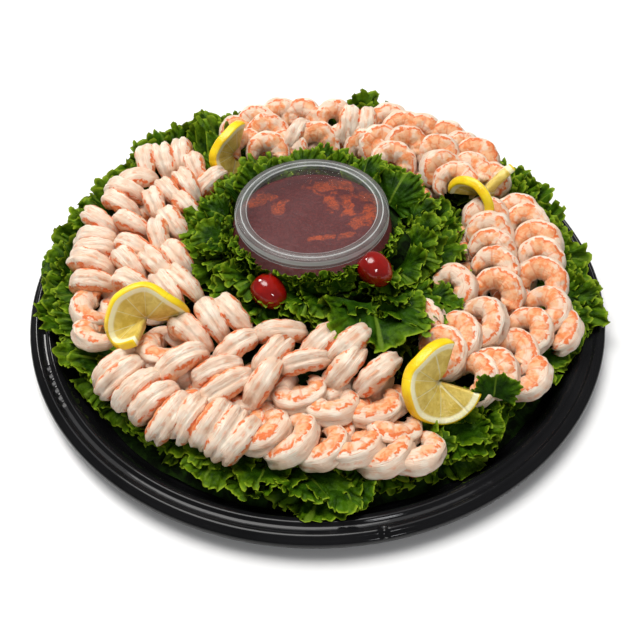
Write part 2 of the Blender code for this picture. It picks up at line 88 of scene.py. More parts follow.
add_lamp("lamp_overhead", (-0.25, 0.20, 1.6), (0.0, 0.0, 0.0), 1.0, 19.0, (1.0, 0.985, 0.96))
add_lamp("lamp_key", (-0.9, 1.0, 1.2), (0.0, 0.0, 0.02), 0.35, 7.0, (1.0, 0.98, 0.95))
add_lamp("lamp_fill", (0.5, -1.3, 1.0), (0.0, 0.0, 0.02), 0.30, 4.0, (0.97, 0.98, 1.0))
SUN_STRENGTH = 1.05
SUN_SPREAD = math.radians(50.0)
SUN_TILT = (math.radians(-14.0), math.radians(-10.0), 0.0)
ROOM_LIGHT = 0.16
sun = bpy.data.lights.new("lamp_wide", "SUN")
sun.energy = SUN_STRENGTH
sun.angle = SUN_SPREAD
sun_lamp = bpy.data.objects.new("lamp_wide", sun)
sun_lamp.rotation_euler = SUN_TILT
bpy.context.scene.collection.objects.link(sun_lamp)

world = bpy.data.worlds.new("studio")
world.use_nodes = True
world.node_tree.nodes["Background"].inputs["Color"].default_value = (1.0, 1.0, 1.0, 1.0)
world.node_tree.nodes["Background"].inputs["Strength"].default_value = ROOM_LIGHT
bpy.context.scene.world = world
bpy.context.scene.view_settings.view_transform = "Standard"


def settle(node, **values):
    """Set a node's sockets to plain values; _ stands for a space."""
    for name, value in values.items():
        node.inputs[name.replace("_", " ")].default_value = value


def new_finish(name, roughness=0.5):
    """A node material, its tree and its Principled shader."""
    material = bpy.data.materials.new(name)
    material.use_nodes = True
    tree = material.node_tree
    shader = tree.nodes["Principled BSDF"]
    settle(shader, Roughness=roughness)
    return material, tree, shader


def add_node(tree, kind, **values):
    node = tree.nodes.new(kind)
    settle(node, **values)
    return node


def join(tree, source, target):
    """Link a socket to another, or set the target to a plain value."""
    if isinstance(source, bpy.types.NodeSocket):
        tree.links.new(source, target)
    else:
        target.default_value = source


def work_out(tree, operation, first, second=0.0):
    """A sum or a function of one or two numbers, each a socket or a value."""
    node = tree.nodes.new("ShaderNodeMath")
    node.operation = operation
    join(tree, first, node.inputs[0])
    join(tree, second, node.inputs[1])
    return node.outputs[0]


def plus(tree, first, second):
    return work_out(tree, "ADD", first, second)


def times(tree, first, second):
    return work_out(tree, "MULTIPLY", first, second)


def step_between(tree, value, low, high):
    """0 below low, 1 above high, smooth between; low may be the larger."""
    node = tree.nodes.new("ShaderNodeMapRange")
    node.interpolation_type = "SMOOTHSTEP"
    join(tree, value, node.inputs["Value"])
    turned = low > high
    node.inputs["From Min"].default_value = min(low, high)
    node.inputs["From Max"].default_value = max(low, high)
    node.inputs["To Min"].default_value = 1.0 if turned else 0.0
    node.inputs["To Max"].default_value = 0.0 if turned else 1.0
    return node.outputs["Result"]


def blend(tree, share, first, second):
    """Mix of two colours, each a socket or a plain colour."""
    node = tree.nodes.new("ShaderNodeMix")
    node.data_type = "RGBA"
    join(tree, share, node.inputs[0])
    for value, socket in ((first, node.inputs[6]), (second, node.inputs[7])):
        if isinstance(value, tuple):
            value = (*value, 1.0)
        join(tree, value, socket)
    return node.outputs[2]


def mottle(tree, scale, detail=2.0, stretch=None, distortion=0.0):
    """Cloudy noise, 0 to 1, scale in patches per metre."""
    coords = tree.nodes.new("ShaderNodeTexCoord").outputs["Object"]
    if stretch:
        mapping = add_node(tree, "ShaderNodeMapping", Scale=stretch)
        tree.links.new(coords, mapping.inputs["Vector"])
        coords = mapping.outputs["Vector"]
    noise = add_node(tree, "ShaderNodeTexNoise", Scale=scale, Detail=detail, Distortion=distortion)
    tree.links.new(coords, noise.inputs["Vector"])
    return noise.outputs["Fac"]


def attribute(tree, name):
    node = tree.nodes.new("ShaderNodeAttribute")
    node.attribute_name = name
    return node.outputs["Fac"]


def two_tones(tree, scale, detail, first, second):
    """Two near colours mingled in soft clouds."""
    return blend(tree, step_between(tree, mottle(tree, scale, detail), 0.3, 0.7), first, second)


def paint(tree, shader, colour):
    join(tree, colour, shader.inputs["Base Color"])


def add_bump(tree, shader, height, strength, depth):
    bump = add_node(tree, "ShaderNodeBump", Strength=strength, Distance=depth)
    tree.links.new(height, bump.inputs["Height"])
    tree.links.new(bump.outputs["Normal"], shader.inputs["Normal"])


def make_piece(name, verts, faces, materials, marks=None, slots=None):
    """A smooth mesh piece; marks are numbers kept for each of its points."""
    mesh = bpy.data.meshes.new(name)
    mesh.from_pydata(verts, [], faces)
    for key, values in (marks or {}).items():
        layer = mesh.attributes.new(key, "FLOAT", "POINT")
        layer.data.foreach_set("value", np.asarray(values, dtype=np.float32))
    for material in materials:
        mesh.materials.append(material)
    if slots is not None:
        mesh.polygons.foreach_set("material_index", slots)
    mesh.polygons.foreach_set("use_smooth", [True] * len(mesh.polygons))
    mesh.update()
    piece = bpy.data.objects.new(name, mesh)
    bpy.context.scene.collection.objects.link(piece)
    return piece


FLOOR_HALF = 3.0
FLOOR_HEIGHT = -0.0002
paper, tree, shader = new_finish("floor_paper", 0.7)
paint(tree, shader, two_tones(tree, 6.0, 3.0, (0.93, 0.93, 0.93), (0.96, 0.96, 0.96)))
corners = [(x * FLOOR_HALF, y * FLOOR_HALF, FLOOR_HEIGHT) for x, y in ((-1, -1), (1, -1), (1, 1), (-1, 1))]
floor = make_piece("floor", corners, [(0, 1, 2, 3)], [paper])


# The tray is one thin sheet of glossy black plastic, formed with a flat floor,
# a sloping wall, two ridges round its rim and a short skirt. Short ribs and
# small notches that take the lid's tabs stand in the rim.
TRAY_RADIUS = 0.2286
TRAY_TOP = 0.0200
TRAY_SHEET = 0.0015
RIB_ANGLES = [math.radians(-158.0 + 2.0 * rib) for rib in range(6)]
NOTCH_ANGLES = [math.radians(angle) for angle in (-79.6, -12.2, 68.0, 140.0)]
SCALLOPS_FROM = math.radians(-59.0)
SCALLOPS_TO = math.radians(-49.0)
SCALLOP_WAVES = 400.0
SCALLOP_LIFT = 0.0006
RIB_WIDTH = math.radians(0.45)
RIB_LIFT = 0.0006
NOTCH_WIDTH = math.radians(0.6)
NOTCH_DEPTH = 0.0016
FLOOR_START = 0.1900
RIM_FROM = 0.0175
GROOVE_FROM, GROOVE_TO = 0.2150, 0.2215
OUTER_RIDGE_FROM = 0.2205
SKIRT_FROM, SKIRT_BELOW = 0.2270, 0.0140
FINE_DEGREES, COARSE_DEGREES = 0.25, 1.5


def spline_through(points, cuts):
    """Closed smooth loop through (radius, height) pairs."""
    count = len(points)
    loop = []
    for i in range(count):
        a, b, c, d = (points[(i + k - 1) % count] for k in range(4))
        for cut in range(cuts):
            t = cut / cuts
            loop.append(tuple(
                0.5 * (2 * b[n] + (c[n] - a[n]) * t
                       + (2 * a[n] - 5 * b[n] + 4 * c[n] - d[n]) * t * t
                       + (3 * b[n] - a[n] - 3 * c[n] + d[n]) * t ** 3)
                for n in range(2)
            ))
    return loop


def skin_rings(rings, closed_run=True):
    """Quads between equal rings of points numbered one after another."""
    faces = []
    count = len(rings[0])
    runs = len(rings) if closed_run else len(rings) - 1
    for run in range(runs):
        here = run * count
        there = ((run + 1) % len(rings)) * count
        for side in range(count):
            next_side = (side + 1) % count
            faces.append((here + side, there + side, there + next_side, here + next_side))
    return faces


def in_a_row(rings):
    return [point for ring in rings for point in ring]


def turned_point(radius, angle, height, centre=(0.0, 0.0)):
    """Point at a radius and an angle about an upright axis."""
    return (centre[0] + radius * math.cos(angle), centre[1] + radius * math.sin(angle), height)


tray_wall = [
    (FLOOR_START, TRAY_SHEET), (0.1962, TRAY_SHEET), (0.1992, 0.0022), (0.2012, 0.0044),
    (0.2050, 0.0108), (0.2085, 0.0166), (0.2100, 0.0187), (0.2118, 0.0196),
    (0.2133, TRAY_TOP), (0.2146, 0.0195), (0.2158, 0.0184), (0.2178, 0.0182),
    (0.2198, 0.0184), (0.2211, 0.0195), (0.2225, TRAY_TOP), (0.2241, 0.0196),
    (0.2256, 0.0185), (0.2268, 0.0180), (0.2280, 0.0172), (TRAY_RADIUS, 0.0158),
    (TRAY_RADIUS, 0.0131), (0.2275, 0.0130), (0.2273, 0.0156), (0.2240, 0.0171),
    (0.2180, 0.0167), (0.2096, 0.0165), (0.2016, 0.0026), (0.1975, 0.0000),
    (0.1940, 0.0000), (FLOOR_START, 0.0000),
]
tray_loop = spline_through(tray_wall, 2)
tray_loop = [(max(radius, FLOOR_START), min(max(height, 0.0), TRAY_TOP)) for radius, height in tray_loop]
fine = []
for rib in RIB_ANGLES + NOTCH_ANGLES:
    fine += [rib + math.radians(FINE_DEGREES * k) for k in range(-6, 7)]
fine += list(np.arange(SCALLOPS_FROM, SCALLOPS_TO, math.radians(FINE_DEGREES)))
coarse = list(np.radians(np.arange(-180.0, 180.0, COARSE_DEGREES)))
tray_angles = sorted(set(round(float(angle), 5) for angle in fine + coarse))
tray_rings = []
for angle in tray_angles:
    ring = []
    for radius, height in tray_loop:
        on_top = height > RIM_FROM
        rib = max(math.exp(-((angle - at) / RIB_WIDTH) ** 2) for at in RIB_ANGLES)
        notch = max(math.exp(-((angle - at) / NOTCH_WIDTH) ** 4) for at in NOTCH_ANGLES)
        lift = 0.0
        if on_top and GROOVE_FROM < radius < GROOVE_TO:
            lift = RIB_LIFT * rib
        if on_top and radius > OUTER_RIDGE_FROM:
            lift = -NOTCH_DEPTH * notch
        if height < SKIRT_BELOW and radius > SKIRT_FROM and SCALLOPS_FROM < angle < SCALLOPS_TO:
            lift = SCALLOP_LIFT * (1 + math.sin(angle * SCALLOP_WAVES))
        ring.append(turned_point(radius, angle, height + lift))
    tray_rings.append(ring)
tray_verts = in_a_row(tray_rings)
tray_faces = skin_rings(tray_rings)
inner = [ring * len(tray_loop) for ring in range(len(tray_rings))]
under = [ring * len(tray_loop) + len(tray_loop) - 2 for ring in range(len(tray_rings))]
FLOOR_RINGS = (0.15, 0.08)
for start, height, flip in ((inner, TRAY_SHEET, False), (under, 0.0, True)):
    previous = start
    for radius in FLOOR_RINGS:
        current = []
        for angle in tray_angles:
            current.append(len(tray_verts))
            tray_verts.append(turned_point(radius, angle, height))
        for i in range(len(tray_angles)):
            j = (i + 1) % len(tray_angles)
            face = (previous[i], previous[j], current[j], current[i])
            tray_faces.append(face[::-1] if flip else face)
        previous = current
    tray_faces.append(previous[::-1] if flip else previous)

black, tree, shader = new_finish("tray_black_plastic", 0.16)
dust = mottle(tree, 260.0, 4.0)
base = two_tones(tree, 14.0, 2.0, (0.0045, 0.0045, 0.0050), (0.0085, 0.0085, 0.0095))
paint(tree, shader, base)
scuffs = step_between(tree, mottle(tree, 90.0, 3.0, (1.0, 6.0, 1.0)), 0.52, 0.80)
rough = plus(tree, times(tree, scuffs, 0.16), 0.07)
join(tree, rough, shader.inputs["Roughness"])
settle(shader, Specular_IOR_Level=0.21)
add_bump(tree, shader, plus(tree, mottle(tree, 38.0, 2.0), times(tree, dust, 0.06)), 0.35, 0.0008)
tray = make_piece("tray_shell", tray_verts, tray_faces, [black])
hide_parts("tray")
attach(tray, "root")


# The lettuce is green leaf lettuce, laid in overlapping ruffled leaves: a bed
# under the shrimp that reaches the tray's rim, and a collar round the tub.
# Each leaf is a fan whose margin is far longer than its base, so it frills.
TUB_CENTRE = Vector((-0.003, 0.0246, 0.0))
COLLAR_CENTRE = Vector((0.003, 0.031, 0.0))
LEAF_ROUND = 118
LEAF_OUT = 11
LEAF_SPREAD = math.radians(105.0)
# Height of each kind of wave, as a share of the leaf's size
LEAF_FOLD = 0.100
LEAF_RUFFLE = 0.084
LEAF_FLUTTER = 0.030
LEAF_BLISTER = 0.030
LEAF_WARP = 0.05
LEAF_CUP = 0.22


def frilled_leaf(store, root, angle, size, rise, bend, frill, rng, clear, lean=0.0):
    """Add one leaf: root point, heading, radius, slope at the root and its change."""
    phases = [rng.uniform(0.0, math.tau) for _ in range(12)]
    tone = rng.random()
    theta = np.linspace(-LEAF_SPREAD, LEAF_SPREAD, LEAF_ROUND)[None, :]
    out = np.linspace(0.0, 1.0, LEAF_OUT)[:, None] ** 0.75
    lobes = 1.0 + 0.08 * np.sin(3.1 * theta + phases[0]) + 0.07 * np.sin(8.0 * theta + phases[1])
    teeth = 1.0 + out ** 6 * 0.030 * np.sin(37.0 * theta + phases[2])
    reach = size * out * (0.80 + 0.20 * np.cos(theta)) * (1.0 + (lobes - 1.0) * out) * teeth
    uneven = 0.65 + 0.35 * np.sin(2.9 * theta + phases[4])
    fold = frill * LEAF_FOLD * size * uneven * out ** 1.8
    ruffle = frill * LEAF_RUFFLE * size * (0.70 + 0.30 * np.sin(5.3 * theta + phases[3])) * out ** 3.4
    flutter = frill * LEAF_FLUTTER * size * out ** 5.0
    swirl = rng.uniform(-2.6, 2.6) * out
    swirl = swirl + 1.1 * np.sin(4.0 * out + phases[0]) * np.sin(2.3 * theta + phases[1])
    slow = rng.uniform(5.0, 7.5) * theta + phases[5] + 0.8 * np.sin(2.0 * theta + phases[6]) + swirl
    beat = rng.uniform(19.0, 26.0) * theta + phases[7] + 1.9 * np.sin(3.7 * theta + phases[10]) - 1.8 * swirl
    quick = rng.uniform(37.0, 43.0) * theta + phases[11] + 2.0 * swirl
    height = fold * np.sin(slow) + ruffle * np.sin(beat) + flutter * np.sin(quick)
    height = height + LEAF_WARP * size * np.sin(3.0 * out + phases[8]) * np.sin(1.7 * theta + phases[9])
    blister = np.sin(9.0 * out * theta + phases[8]) * np.sin(11.0 * out + phases[9])
    height = height + LEAF_BLISTER * size * out * blister
    slip = -0.45 * fold * np.sin(2.0 * slow) - 0.55 * ruffle * np.sin(2.0 * beat)
    reach = reach - 0.22 * fold * (1.0 - np.cos(2.0 * slow)) - 0.30 * ruffle * np.cos(2.0 * beat)
    across = reach * np.sin(theta) + slip * np.cos(theta)
    forth = reach * np.cos(theta) - slip * np.sin(theta)
    height = height + LEAF_CUP * across ** 2 / size
    curve = bend / size
    slope = rise + curve * forth
    run = (np.sin(slope) - math.sin(rise)) / curve - height * np.sin(slope)
    lift = (math.cos(rise) - np.cos(slope)) / curve + height * np.cos(slope)
    across, lift = (
        across * math.cos(lean) - lift * math.sin(lean),
        across * math.sin(lean) + lift * math.cos(lean),
    )
    x = root[0] + run * math.cos(angle) - across * math.sin(angle)
    y = root[1] + run * math.sin(angle) + across * math.cos(angle)
    points = np.stack(np.broadcast_arrays(x, y, root[2] + lift), axis=-1).reshape(-1, 3)
    points = clear(points)
    first = len(store["verts"])
    store["verts"].extend(map(tuple, points))
    for j in range(LEAF_OUT - 1):
        for i in range(LEAF_ROUND - 1):
            corner = first + j * LEAF_ROUND + i
            store["faces"].append((corner, corner + 1, corner + LEAF_ROUND + 1, corner + LEAF_ROUND))
    store["margin"].extend(np.broadcast_to(out, (LEAF_OUT, LEAF_ROUND)).reshape(-1))
    store["spread"].extend(np.broadcast_to(theta, (LEAF_OUT, LEAF_ROUND)).reshape(-1))
    store["tone"].extend([tone] * (LEAF_OUT * LEAF_ROUND))


# How far out a leaf may reach, and how leaves lie on the tray's upper face
LEAF_LIMIT = 0.2370
TRAY_CLEARANCE = 0.0008
TRAY_UNEVEN = 0.0012
TRAY_FACE = (
    (0.0, 0.0015), (0.196, 0.0015), (0.2012, 0.0044), (0.2085, 0.0166), (0.2133, 0.0200),
    (0.2180, 0.0184), (0.2225, 0.0200), (0.2286, 0.0172), (0.2300, 0.0),
)


def along_curve(value, pairs):
    """Value of a curve given by pairs, straight between them."""
    return np.interp(value, [a for a, _ in pairs], [b for _, b in pairs])


def tray_top(radius):
    """Height of the tray's upper face at a radius."""
    return along_curve(radius, TRAY_FACE)


def above_tray(points):
    """Let leaf points rest on the tray, each fold a little above the last."""
    radius = np.hypot(points[:, 0], points[:, 1])
    uneven = 1.0 + np.sin(points[:, 0] * 700.0 + points[:, 1] * 500.0)
    lowest = tray_top(radius) + TRAY_CLEARANCE + TRAY_UNEVEN * uneven
    soft = lowest + 0.12 * np.maximum(lowest - points[:, 2], 0.0)
    points[:, 2] = np.maximum(points[:, 2], soft)
    too_far = np.maximum(radius / LEAF_LIMIT, 1.0)
    points[:, 0] /= too_far
    points[:, 1] /= too_far
    return points


# How far the bed reaches at angles round the tray, degrees and metres
BED_REACH = (
    (0, 0.216), (12, 0.208), (30, 0.216), (50, 0.210), (76, 0.220), (95, 0.212),
    (112, 0.212), (128, 0.212), (145, 0.216), (158, 0.222), (170, 0.234), (184, 0.218),
    (202, 0.212), (211, 0.203), (227, 0.196), (239, 0.195), (250, 0.204), (261, 0.205),
    (268, 0.215), (276, 0.214), (283, 0.195), (294, 0.197), (307, 0.205), (315, 0.188),
    (326, 0.204), (336, 0.208), (346, 0.218), (352, 0.226), (360, 0.216),
)
# Where the arcs of shrimp lie, degrees
SHRIMP_SPANS = ((206, 296), (316, 383), (33, 112), (121, 203))
RING_CENTRE = Vector((0.0, 0.004, 0.0))
SHRIMP_OUTER = 0.186
UNDER_SHRIMP = 0.0225
# Height of the bed's top beside the shrimp, by radius, and where none lie
BESIDE_SHRIMP = ((SHRIMP_OUTER, UNDER_SHRIMP), (0.200, 0.034), (0.206, 0.06))
BED_TOP = 0.09


def bed_reach(angle):
    return along_curve(np.degrees(angle) % 360.0, BED_REACH)


def within_reach(points):
    """Draw in leaf points that pass the bed's margin."""
    radius = np.hypot(points[:, 0], points[:, 1])
    limit = bed_reach(np.arctan2(points[:, 1], points[:, 0])) - 0.001
    over = np.maximum(radius - limit, 0.0)
    share = (radius - 0.80 * over) / np.maximum(radius, 1e-6)
    points[:, 0] *= share
    points[:, 1] *= share
    return points


def under_shrimp(points):
    """Keep the bed low where shrimp lie on it, and off the tray."""
    points = above_tray(within_reach(points))
    radius = np.hypot(points[:, 0] - RING_CENTRE.x, points[:, 1] - RING_CENTRE.y)
    turned = np.degrees(np.arctan2(points[:, 1], points[:, 0])) % 360.0
    covered = np.zeros(len(points), dtype=bool)
    for start, end in SHRIMP_SPANS:
        covered |= (turned > start) & (turned < end)
        covered |= (turned + 360.0 > start) & (turned + 360.0 < end)
    top = np.where(covered, along_curve(radius, BESIDE_SHRIMP), BED_TOP)
    over = np.maximum(points[:, 2] - top, 0.0)
    points[:, 2] = np.where(over > 0.0, top + 0.05 * over, points[:, 2])
    return points


def empty_store():
    return {"verts": [], "faces": [], "margin": [], "spread": [], "tone": []}


def leaf_piece(name, store):
    marks = {key: store[key] for key in ("margin", "spread", "tone")}
    return make_piece(name, store["verts"], store["faces"], [green], marks)


green, tree, shader = new_finish("lettuce_leaf", 0.40)
margin = attribute(tree, "margin")
spread = attribute(tree, "spread")
leaf_tone = attribute(tree, "tone")
patches = mottle(tree, 120.0, 4.0)
crinkle = mottle(tree, 420.0, 3.0, distortion=0.5)
# Each leaf is painted dark towards its root, where the leaves overlap: this is painted shade. Towards the
# margin it takes its own green, in a random tone for each leaf.
painted_root_shade = blend(tree, step_between(tree, patches, 0.35, 0.65), (0.009, 0.032, 0.0005), (0.024, 0.074, 0.0014))
light = blend(tree, leaf_tone, (0.050, 0.126, 0.0015), (0.118, 0.212, 0.0050))
outward = plus(tree, margin, times(tree, work_out(tree, "SUBTRACT", patches, 0.5), 0.9))
colour = blend(tree, step_between(tree, outward, 0.60, 1.12), painted_root_shade, light)
rib = times(tree, work_out(tree, "ABSOLUTE", spread), margin)
colour = blend(tree, step_between(tree, rib, 0.04, 0.012), colour, (0.10, 0.17, 0.012))
# The outermost margin is painted bright yellow-green: painted light on the lit leaf edges.
colour = blend(tree, step_between(tree, margin, 0.93, 1.0), colour, (0.225, 0.330, 0.016))
paint(tree, shader, colour)
join(tree, plus(tree, times(tree, patches, 0.3), 0.30), shader.inputs["Roughness"])
settle(shader, Specular_IOR_Level=0.07)
veins = work_out(tree, "ABSOLUTE", work_out(tree, "SINE", times(tree, spread, 11.0)))
relief = plus(tree, times(tree, crinkle, 0.8), times(tree, veins, 0.05))
add_bump(tree, shader, plus(tree, relief, mottle(tree, 190.0, 2.0)), 0.6, 0.0022)

rng = random.Random(41)
bed = empty_store()
BED_LEAVES = 36
for tier, size, lower in ((0, 0.040, 0.0), (1, 0.032, 0.006)):
    for index in range(BED_LEAVES):
        angle = math.tau * (index + 0.5 * tier + rng.uniform(-0.28, 0.28)) / BED_LEAVES
        back = max(math.sin(angle), 0.0)
        leaf_size = size * rng.uniform(0.85, 1.15)
        reach = float(bed_reach(angle)) - lower + rng.uniform(-0.003, 0.003)
        radius = reach - 0.92 * leaf_size
        root = turned_point(radius, angle, 0.012 + 0.005 * tier + 0.006 * back)
        rise = math.radians(rng.uniform(14, 42) + 16 * tier + 20 * back)
        bend = math.radians(rng.uniform(-60, 5) - 6)
        heading = angle + math.radians(rng.uniform(-28, 28))
        lean = math.radians(rng.uniform(-24, 24))
        frill = rng.uniform(0.9, 1.3)
        frilled_leaf(bed, root, heading, leaf_size, rise, bend, frill, rng, under_shrimp, lean)
bed_piece = leaf_piece("lettuce_bed_leaves", bed)
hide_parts("lettuce_bed")
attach(bed_piece, "root")

# Leaves that stand up past the shrimp at the back and the sides: heading in
# degrees, then how far and how high each tip comes and its size, millimetres
EDGE_LEAVES = (
    (5, 218, 31, 38), (12, 213, 30, 36), (18, 217, 32, 38), (25, 221, 33, 40), (31, 221, 33, 40),
    (36, 223, 34, 42), (41, 222, 34, 42), (49, 200, 44, 36), (56, 203, 46, 38), (66, 208, 47, 38),
    (71, 214, 48, 42), (77, 221, 50, 46), (82, 204, 45, 38), (101, 200, 44, 36), (106, 208, 46, 40),
    (111, 219, 40, 42), (117, 226, 40, 46), (123, 234, 39, 48), (130, 232, 37, 44), (136, 225, 38, 42),
    (142, 219, 38, 42), (148, 218, 36, 40), (154, 224, 34, 42), (161, 221, 33, 40), (168, 221, 33, 40),
    (175, 221, 32, 40), (182, 220, 31, 38), (189, 220, 30, 38), (351, 225, 30, 40), (358, 222, 30, 38),
)
EDGE_ROOT = 0.011
STEEPEST = 0.94
edges = empty_store()
for heading, reach, height, size in EDGE_LEAVES:
    size = size / 1000.0
    slope = math.asin(min((height / 1000.0 - 0.010) / size, STEEPEST))
    angle = math.radians(heading + rng.uniform(-1.5, 1.5))
    radius = reach / 1000.0 - size * math.cos(slope)
    root = turned_point(radius, angle, EDGE_ROOT)
    turned = angle + math.radians(rng.uniform(-14, 14))
    frill = rng.uniform(1.0, 1.3)
    frilled_leaf(edges, root, turned, size, slope + math.radians(8), math.radians(-14), frill,
                 rng, above_tray, math.radians(rng.uniform(-16, 16)))
edge_piece = leaf_piece("lettuce_edge_leaves", edges)
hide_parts("lettuce_bed")
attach(edge_piece, "root")

# Leaves that fill the four gaps between the arcs, under the lemon twists
GAP_MIDDLES = (309.0, 27.0, 116.5, 204.5)
LEAVES_PER_GAP = 7
gaps = empty_store()
for gap in GAP_MIDDLES:
    for index in range(LEAVES_PER_GAP):
        angle = math.radians(gap + rng.uniform(-9, 9))
        radius = rng.uniform(0.108, 0.175)
        root = turned_point(radius, angle, rng.uniform(0.012, 0.018))
        heading = angle + math.radians(rng.uniform(-70, 70))
        size = rng.uniform(0.024, 0.030)
        rise = math.radians(rng.uniform(10, 45))
        bend = math.radians(rng.uniform(-50, 5))
        lean = math.radians(rng.uniform(-25, 25))
        frilled_leaf(gaps, root, heading, size, rise, bend, 1.1, rng, above_tray, lean)
gap_piece = leaf_piece("lettuce_gap_leaves", gaps)
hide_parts("lettuce_bed")
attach(gap_piece, "root")


# Under the leaves and the shrimp lies a sheet for the packed lettuce, seen only
# through the gaps, as folds. Its near-black green is painted shade, a little
# lighter on the raised folds as painted light.
CORE_RINGS = (
    (0.030, 0.0125), (0.070, 0.0125), (0.100, 0.0125), (0.125, 0.0125),
    (0.150, 0.0120), (0.172, 0.0105), (0.190, 0.0070), (0.197, 0.0030),
)
CORE_STEPS = 180
core_rings = []
for radius, core_height in CORE_RINGS:
    ring = []
    for step in range(CORE_STEPS):
        angle = math.tau * step / CORE_STEPS
        fold = 0.0012 * math.sin(17 * angle + 90 * radius) + 0.0008 * math.sin(41 * angle - 160 * radius)
        ring.append(turned_point(radius, angle, core_height + fold))
    core_rings.append(ring)
core_verts = in_a_row(core_rings)
core_faces = [face[::-1] for face in skin_rings(core_rings, closed_run=False)]
painted_shade_lettuce, tree, shader = new_finish("lettuce_depths_painted_shade", 0.85)
folds = mottle(tree, 130.0, 4.0, distortion=0.6)
raised = step_between(tree, folds, 0.35, 0.75)
# Near-black painted shade, lighter on the raised folds as painted light
paint(tree, shader, blend(tree, raised, (0.003, 0.007, 0.001), (0.014, 0.040, 0.002)))
settle(shader, Specular_IOR_Level=0.1)
add_bump(tree, shader, folds, 0.8, 0.004)
core_piece = make_piece("lettuce_bed_core", core_verts, core_faces, [painted_shade_lettuce])
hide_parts("lettuce_bed")
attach(core_piece, "root")


# The collar is packed between tub and shrimp: steep leaves against the tub,
# and flatter ones that spread outward and fall over the shrimp.
# How far its leaves reach from the tub's centre, degrees and metres
COLLAR_REACH = (
    (0, 0.126), (20, 0.122), (45, 0.116), (75, 0.110), (105, 0.106), (135, 0.108),
    (165, 0.112), (195, 0.110), (215, 0.100), (235, 0.100), (255, 0.096), (275, 0.100),
    (292, 0.126), (305, 0.116), (325, 0.114), (345, 0.124), (360, 0.126),
)


def collar_reach(angle):
    return float(along_curve(math.degrees(angle) % 360.0, COLLAR_REACH))


# Radius of the tub and its lid, by height, that leaves stay out of
TUB_SIDE = ((0.0, 0.0658), (0.0606, 0.0658), (0.0710, 0.0595), (0.0722, 0.0618), (0.09, 0.0618))
COLLAR_LOWEST = 0.0165
COLLAR_TOP = 0.0760


def off_tub(points):
    """Push leaf points out of the tub and below its lid's rim."""
    dx = points[:, 0] - TUB_CENTRE.x
    dy = points[:, 1] - TUB_CENTRE.y
    radius = np.hypot(dx, dy)
    wall = along_curve(points[:, 2], TUB_SIDE) + 0.0006 * (1.0 + np.sin(points[:, 2] * 900.0))
    push = np.maximum(wall / np.maximum(radius, 1e-6), 1.0)
    points[:, 0] = TUB_CENTRE.x + dx * push
    points[:, 1] = TUB_CENTRE.y + dy * push
    points[:, 2] = np.maximum(points[:, 2], COLLAR_LOWEST)
    too_high = np.maximum(points[:, 2] - COLLAR_TOP, 0.0)
    points[:, 2] -= 0.85 * too_high
    return points


collar = empty_store()
rng = random.Random(77)
COLLAR_TIERS = (
    # leaves, size, root height, rise, bend, how far short of the reach
    (22, 0.036, 0.024, 30.0, -30.0, 0.0),
    (24, 0.034, 0.036, 42.0, -46.0, 0.008),
    (24, 0.030, 0.046, 54.0, -60.0, 0.018),
)
for tier, (count, size, height, rise, bend, short) in enumerate(COLLAR_TIERS):
    for index in range(count):
        angle = math.tau * (index + 0.33 * tier + rng.uniform(-0.3, 0.3)) / count
        back = max(math.sin(angle), 0.0)
        leaf_size = size * rng.uniform(0.85, 1.15)
        reach = collar_reach(angle) - short + rng.uniform(-0.003, 0.003)
        radius = max(reach - 0.85 * leaf_size, 0.0665)
        root = turned_point(radius, angle, height + 0.004 * back + rng.uniform(-0.002, 0.002), TUB_CENTRE)
        heading = angle + math.radians(rng.uniform(-30, 30))
        slope = math.radians(rise + 14 * back + rng.uniform(-12, 12))
        lean = math.radians(rng.uniform(-26, 26))
        leaf_bend = math.radians(bend + rng.uniform(-18, 18))
        frill = rng.uniform(0.95, 1.3)
        frilled_leaf(collar, root, heading, leaf_size, slope, leaf_bend, frill, rng, off_tub, lean)
collar_piece = leaf_piece("lettuce_collar_leaves", collar)
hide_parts("lettuce_collar")
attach(collar_piece, "root")

# Leaves that stand close to the tub's front, up to the lid's skirt, and single
# leaves that lie over the shrimp or against the tomatoes
front_leaves = empty_store()
TOMATO_ANGLES = (245.5, 307.7)
TOMATO_GAP = 11.0
FRONT_LEAVES = 24
FRONT_FROM, FRONT_STEP = 196.0, 6.2
for index in range(FRONT_LEAVES):
    turned = FRONT_FROM + FRONT_STEP * index + rng.uniform(-2.0, 2.0)
    if min(abs(turned - at) for at in TOMATO_ANGLES) < TOMATO_GAP:
        continue
    angle = math.radians(turned)
    radius = rng.uniform(0.0665, 0.0685)
    root = turned_point(radius, angle, rng.uniform(0.053, 0.057), TUB_CENTRE)
    heading = angle + math.radians(rng.uniform(-25, 25))
    size = rng.uniform(0.022, 0.026)
    rise = math.radians(rng.uniform(84, 100))
    lean = math.radians(rng.uniform(-20, 20))
    frilled_leaf(front_leaves, root, heading, size, rise, math.radians(-36), 1.2, rng, off_tub, lean)
SINGLE_LEAVES = (
    # root in millimetres, heading, size in millimetres, rise, bend
    ((40, -56, 55), -82, 46, 8, -16), ((60, -52, 52), -40, 32, 20, -30), ((-34, -63, 43), -95, 21, 66, -34),
    ((55, -50, 50), -75, 20, 66, -40), ((121, -132, 41), 95, 20, 74, -20), ((92, -30, 42), -30, 30, 20, -30),
    ((78, -44, 46), -50, 30, 24, -40), ((-74, 128, 22), 130, 34, 44, -30), ((14, -58, 50), -95, 26, 30, -50),
)
for root, heading, size, rise, bend in SINGLE_LEAVES:
    root = [value / 1000.0 for value in root]
    lean = math.radians(rng.uniform(-10, 10))
    frilled_leaf(front_leaves, root, math.radians(heading), size / 1000.0,
                 math.radians(rise), math.radians(bend), 1.0, rng, off_tub, lean)
front_piece = leaf_piece("lettuce_collar_front_leaves", front_leaves)
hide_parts("lettuce_collar")
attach(front_piece, "root")

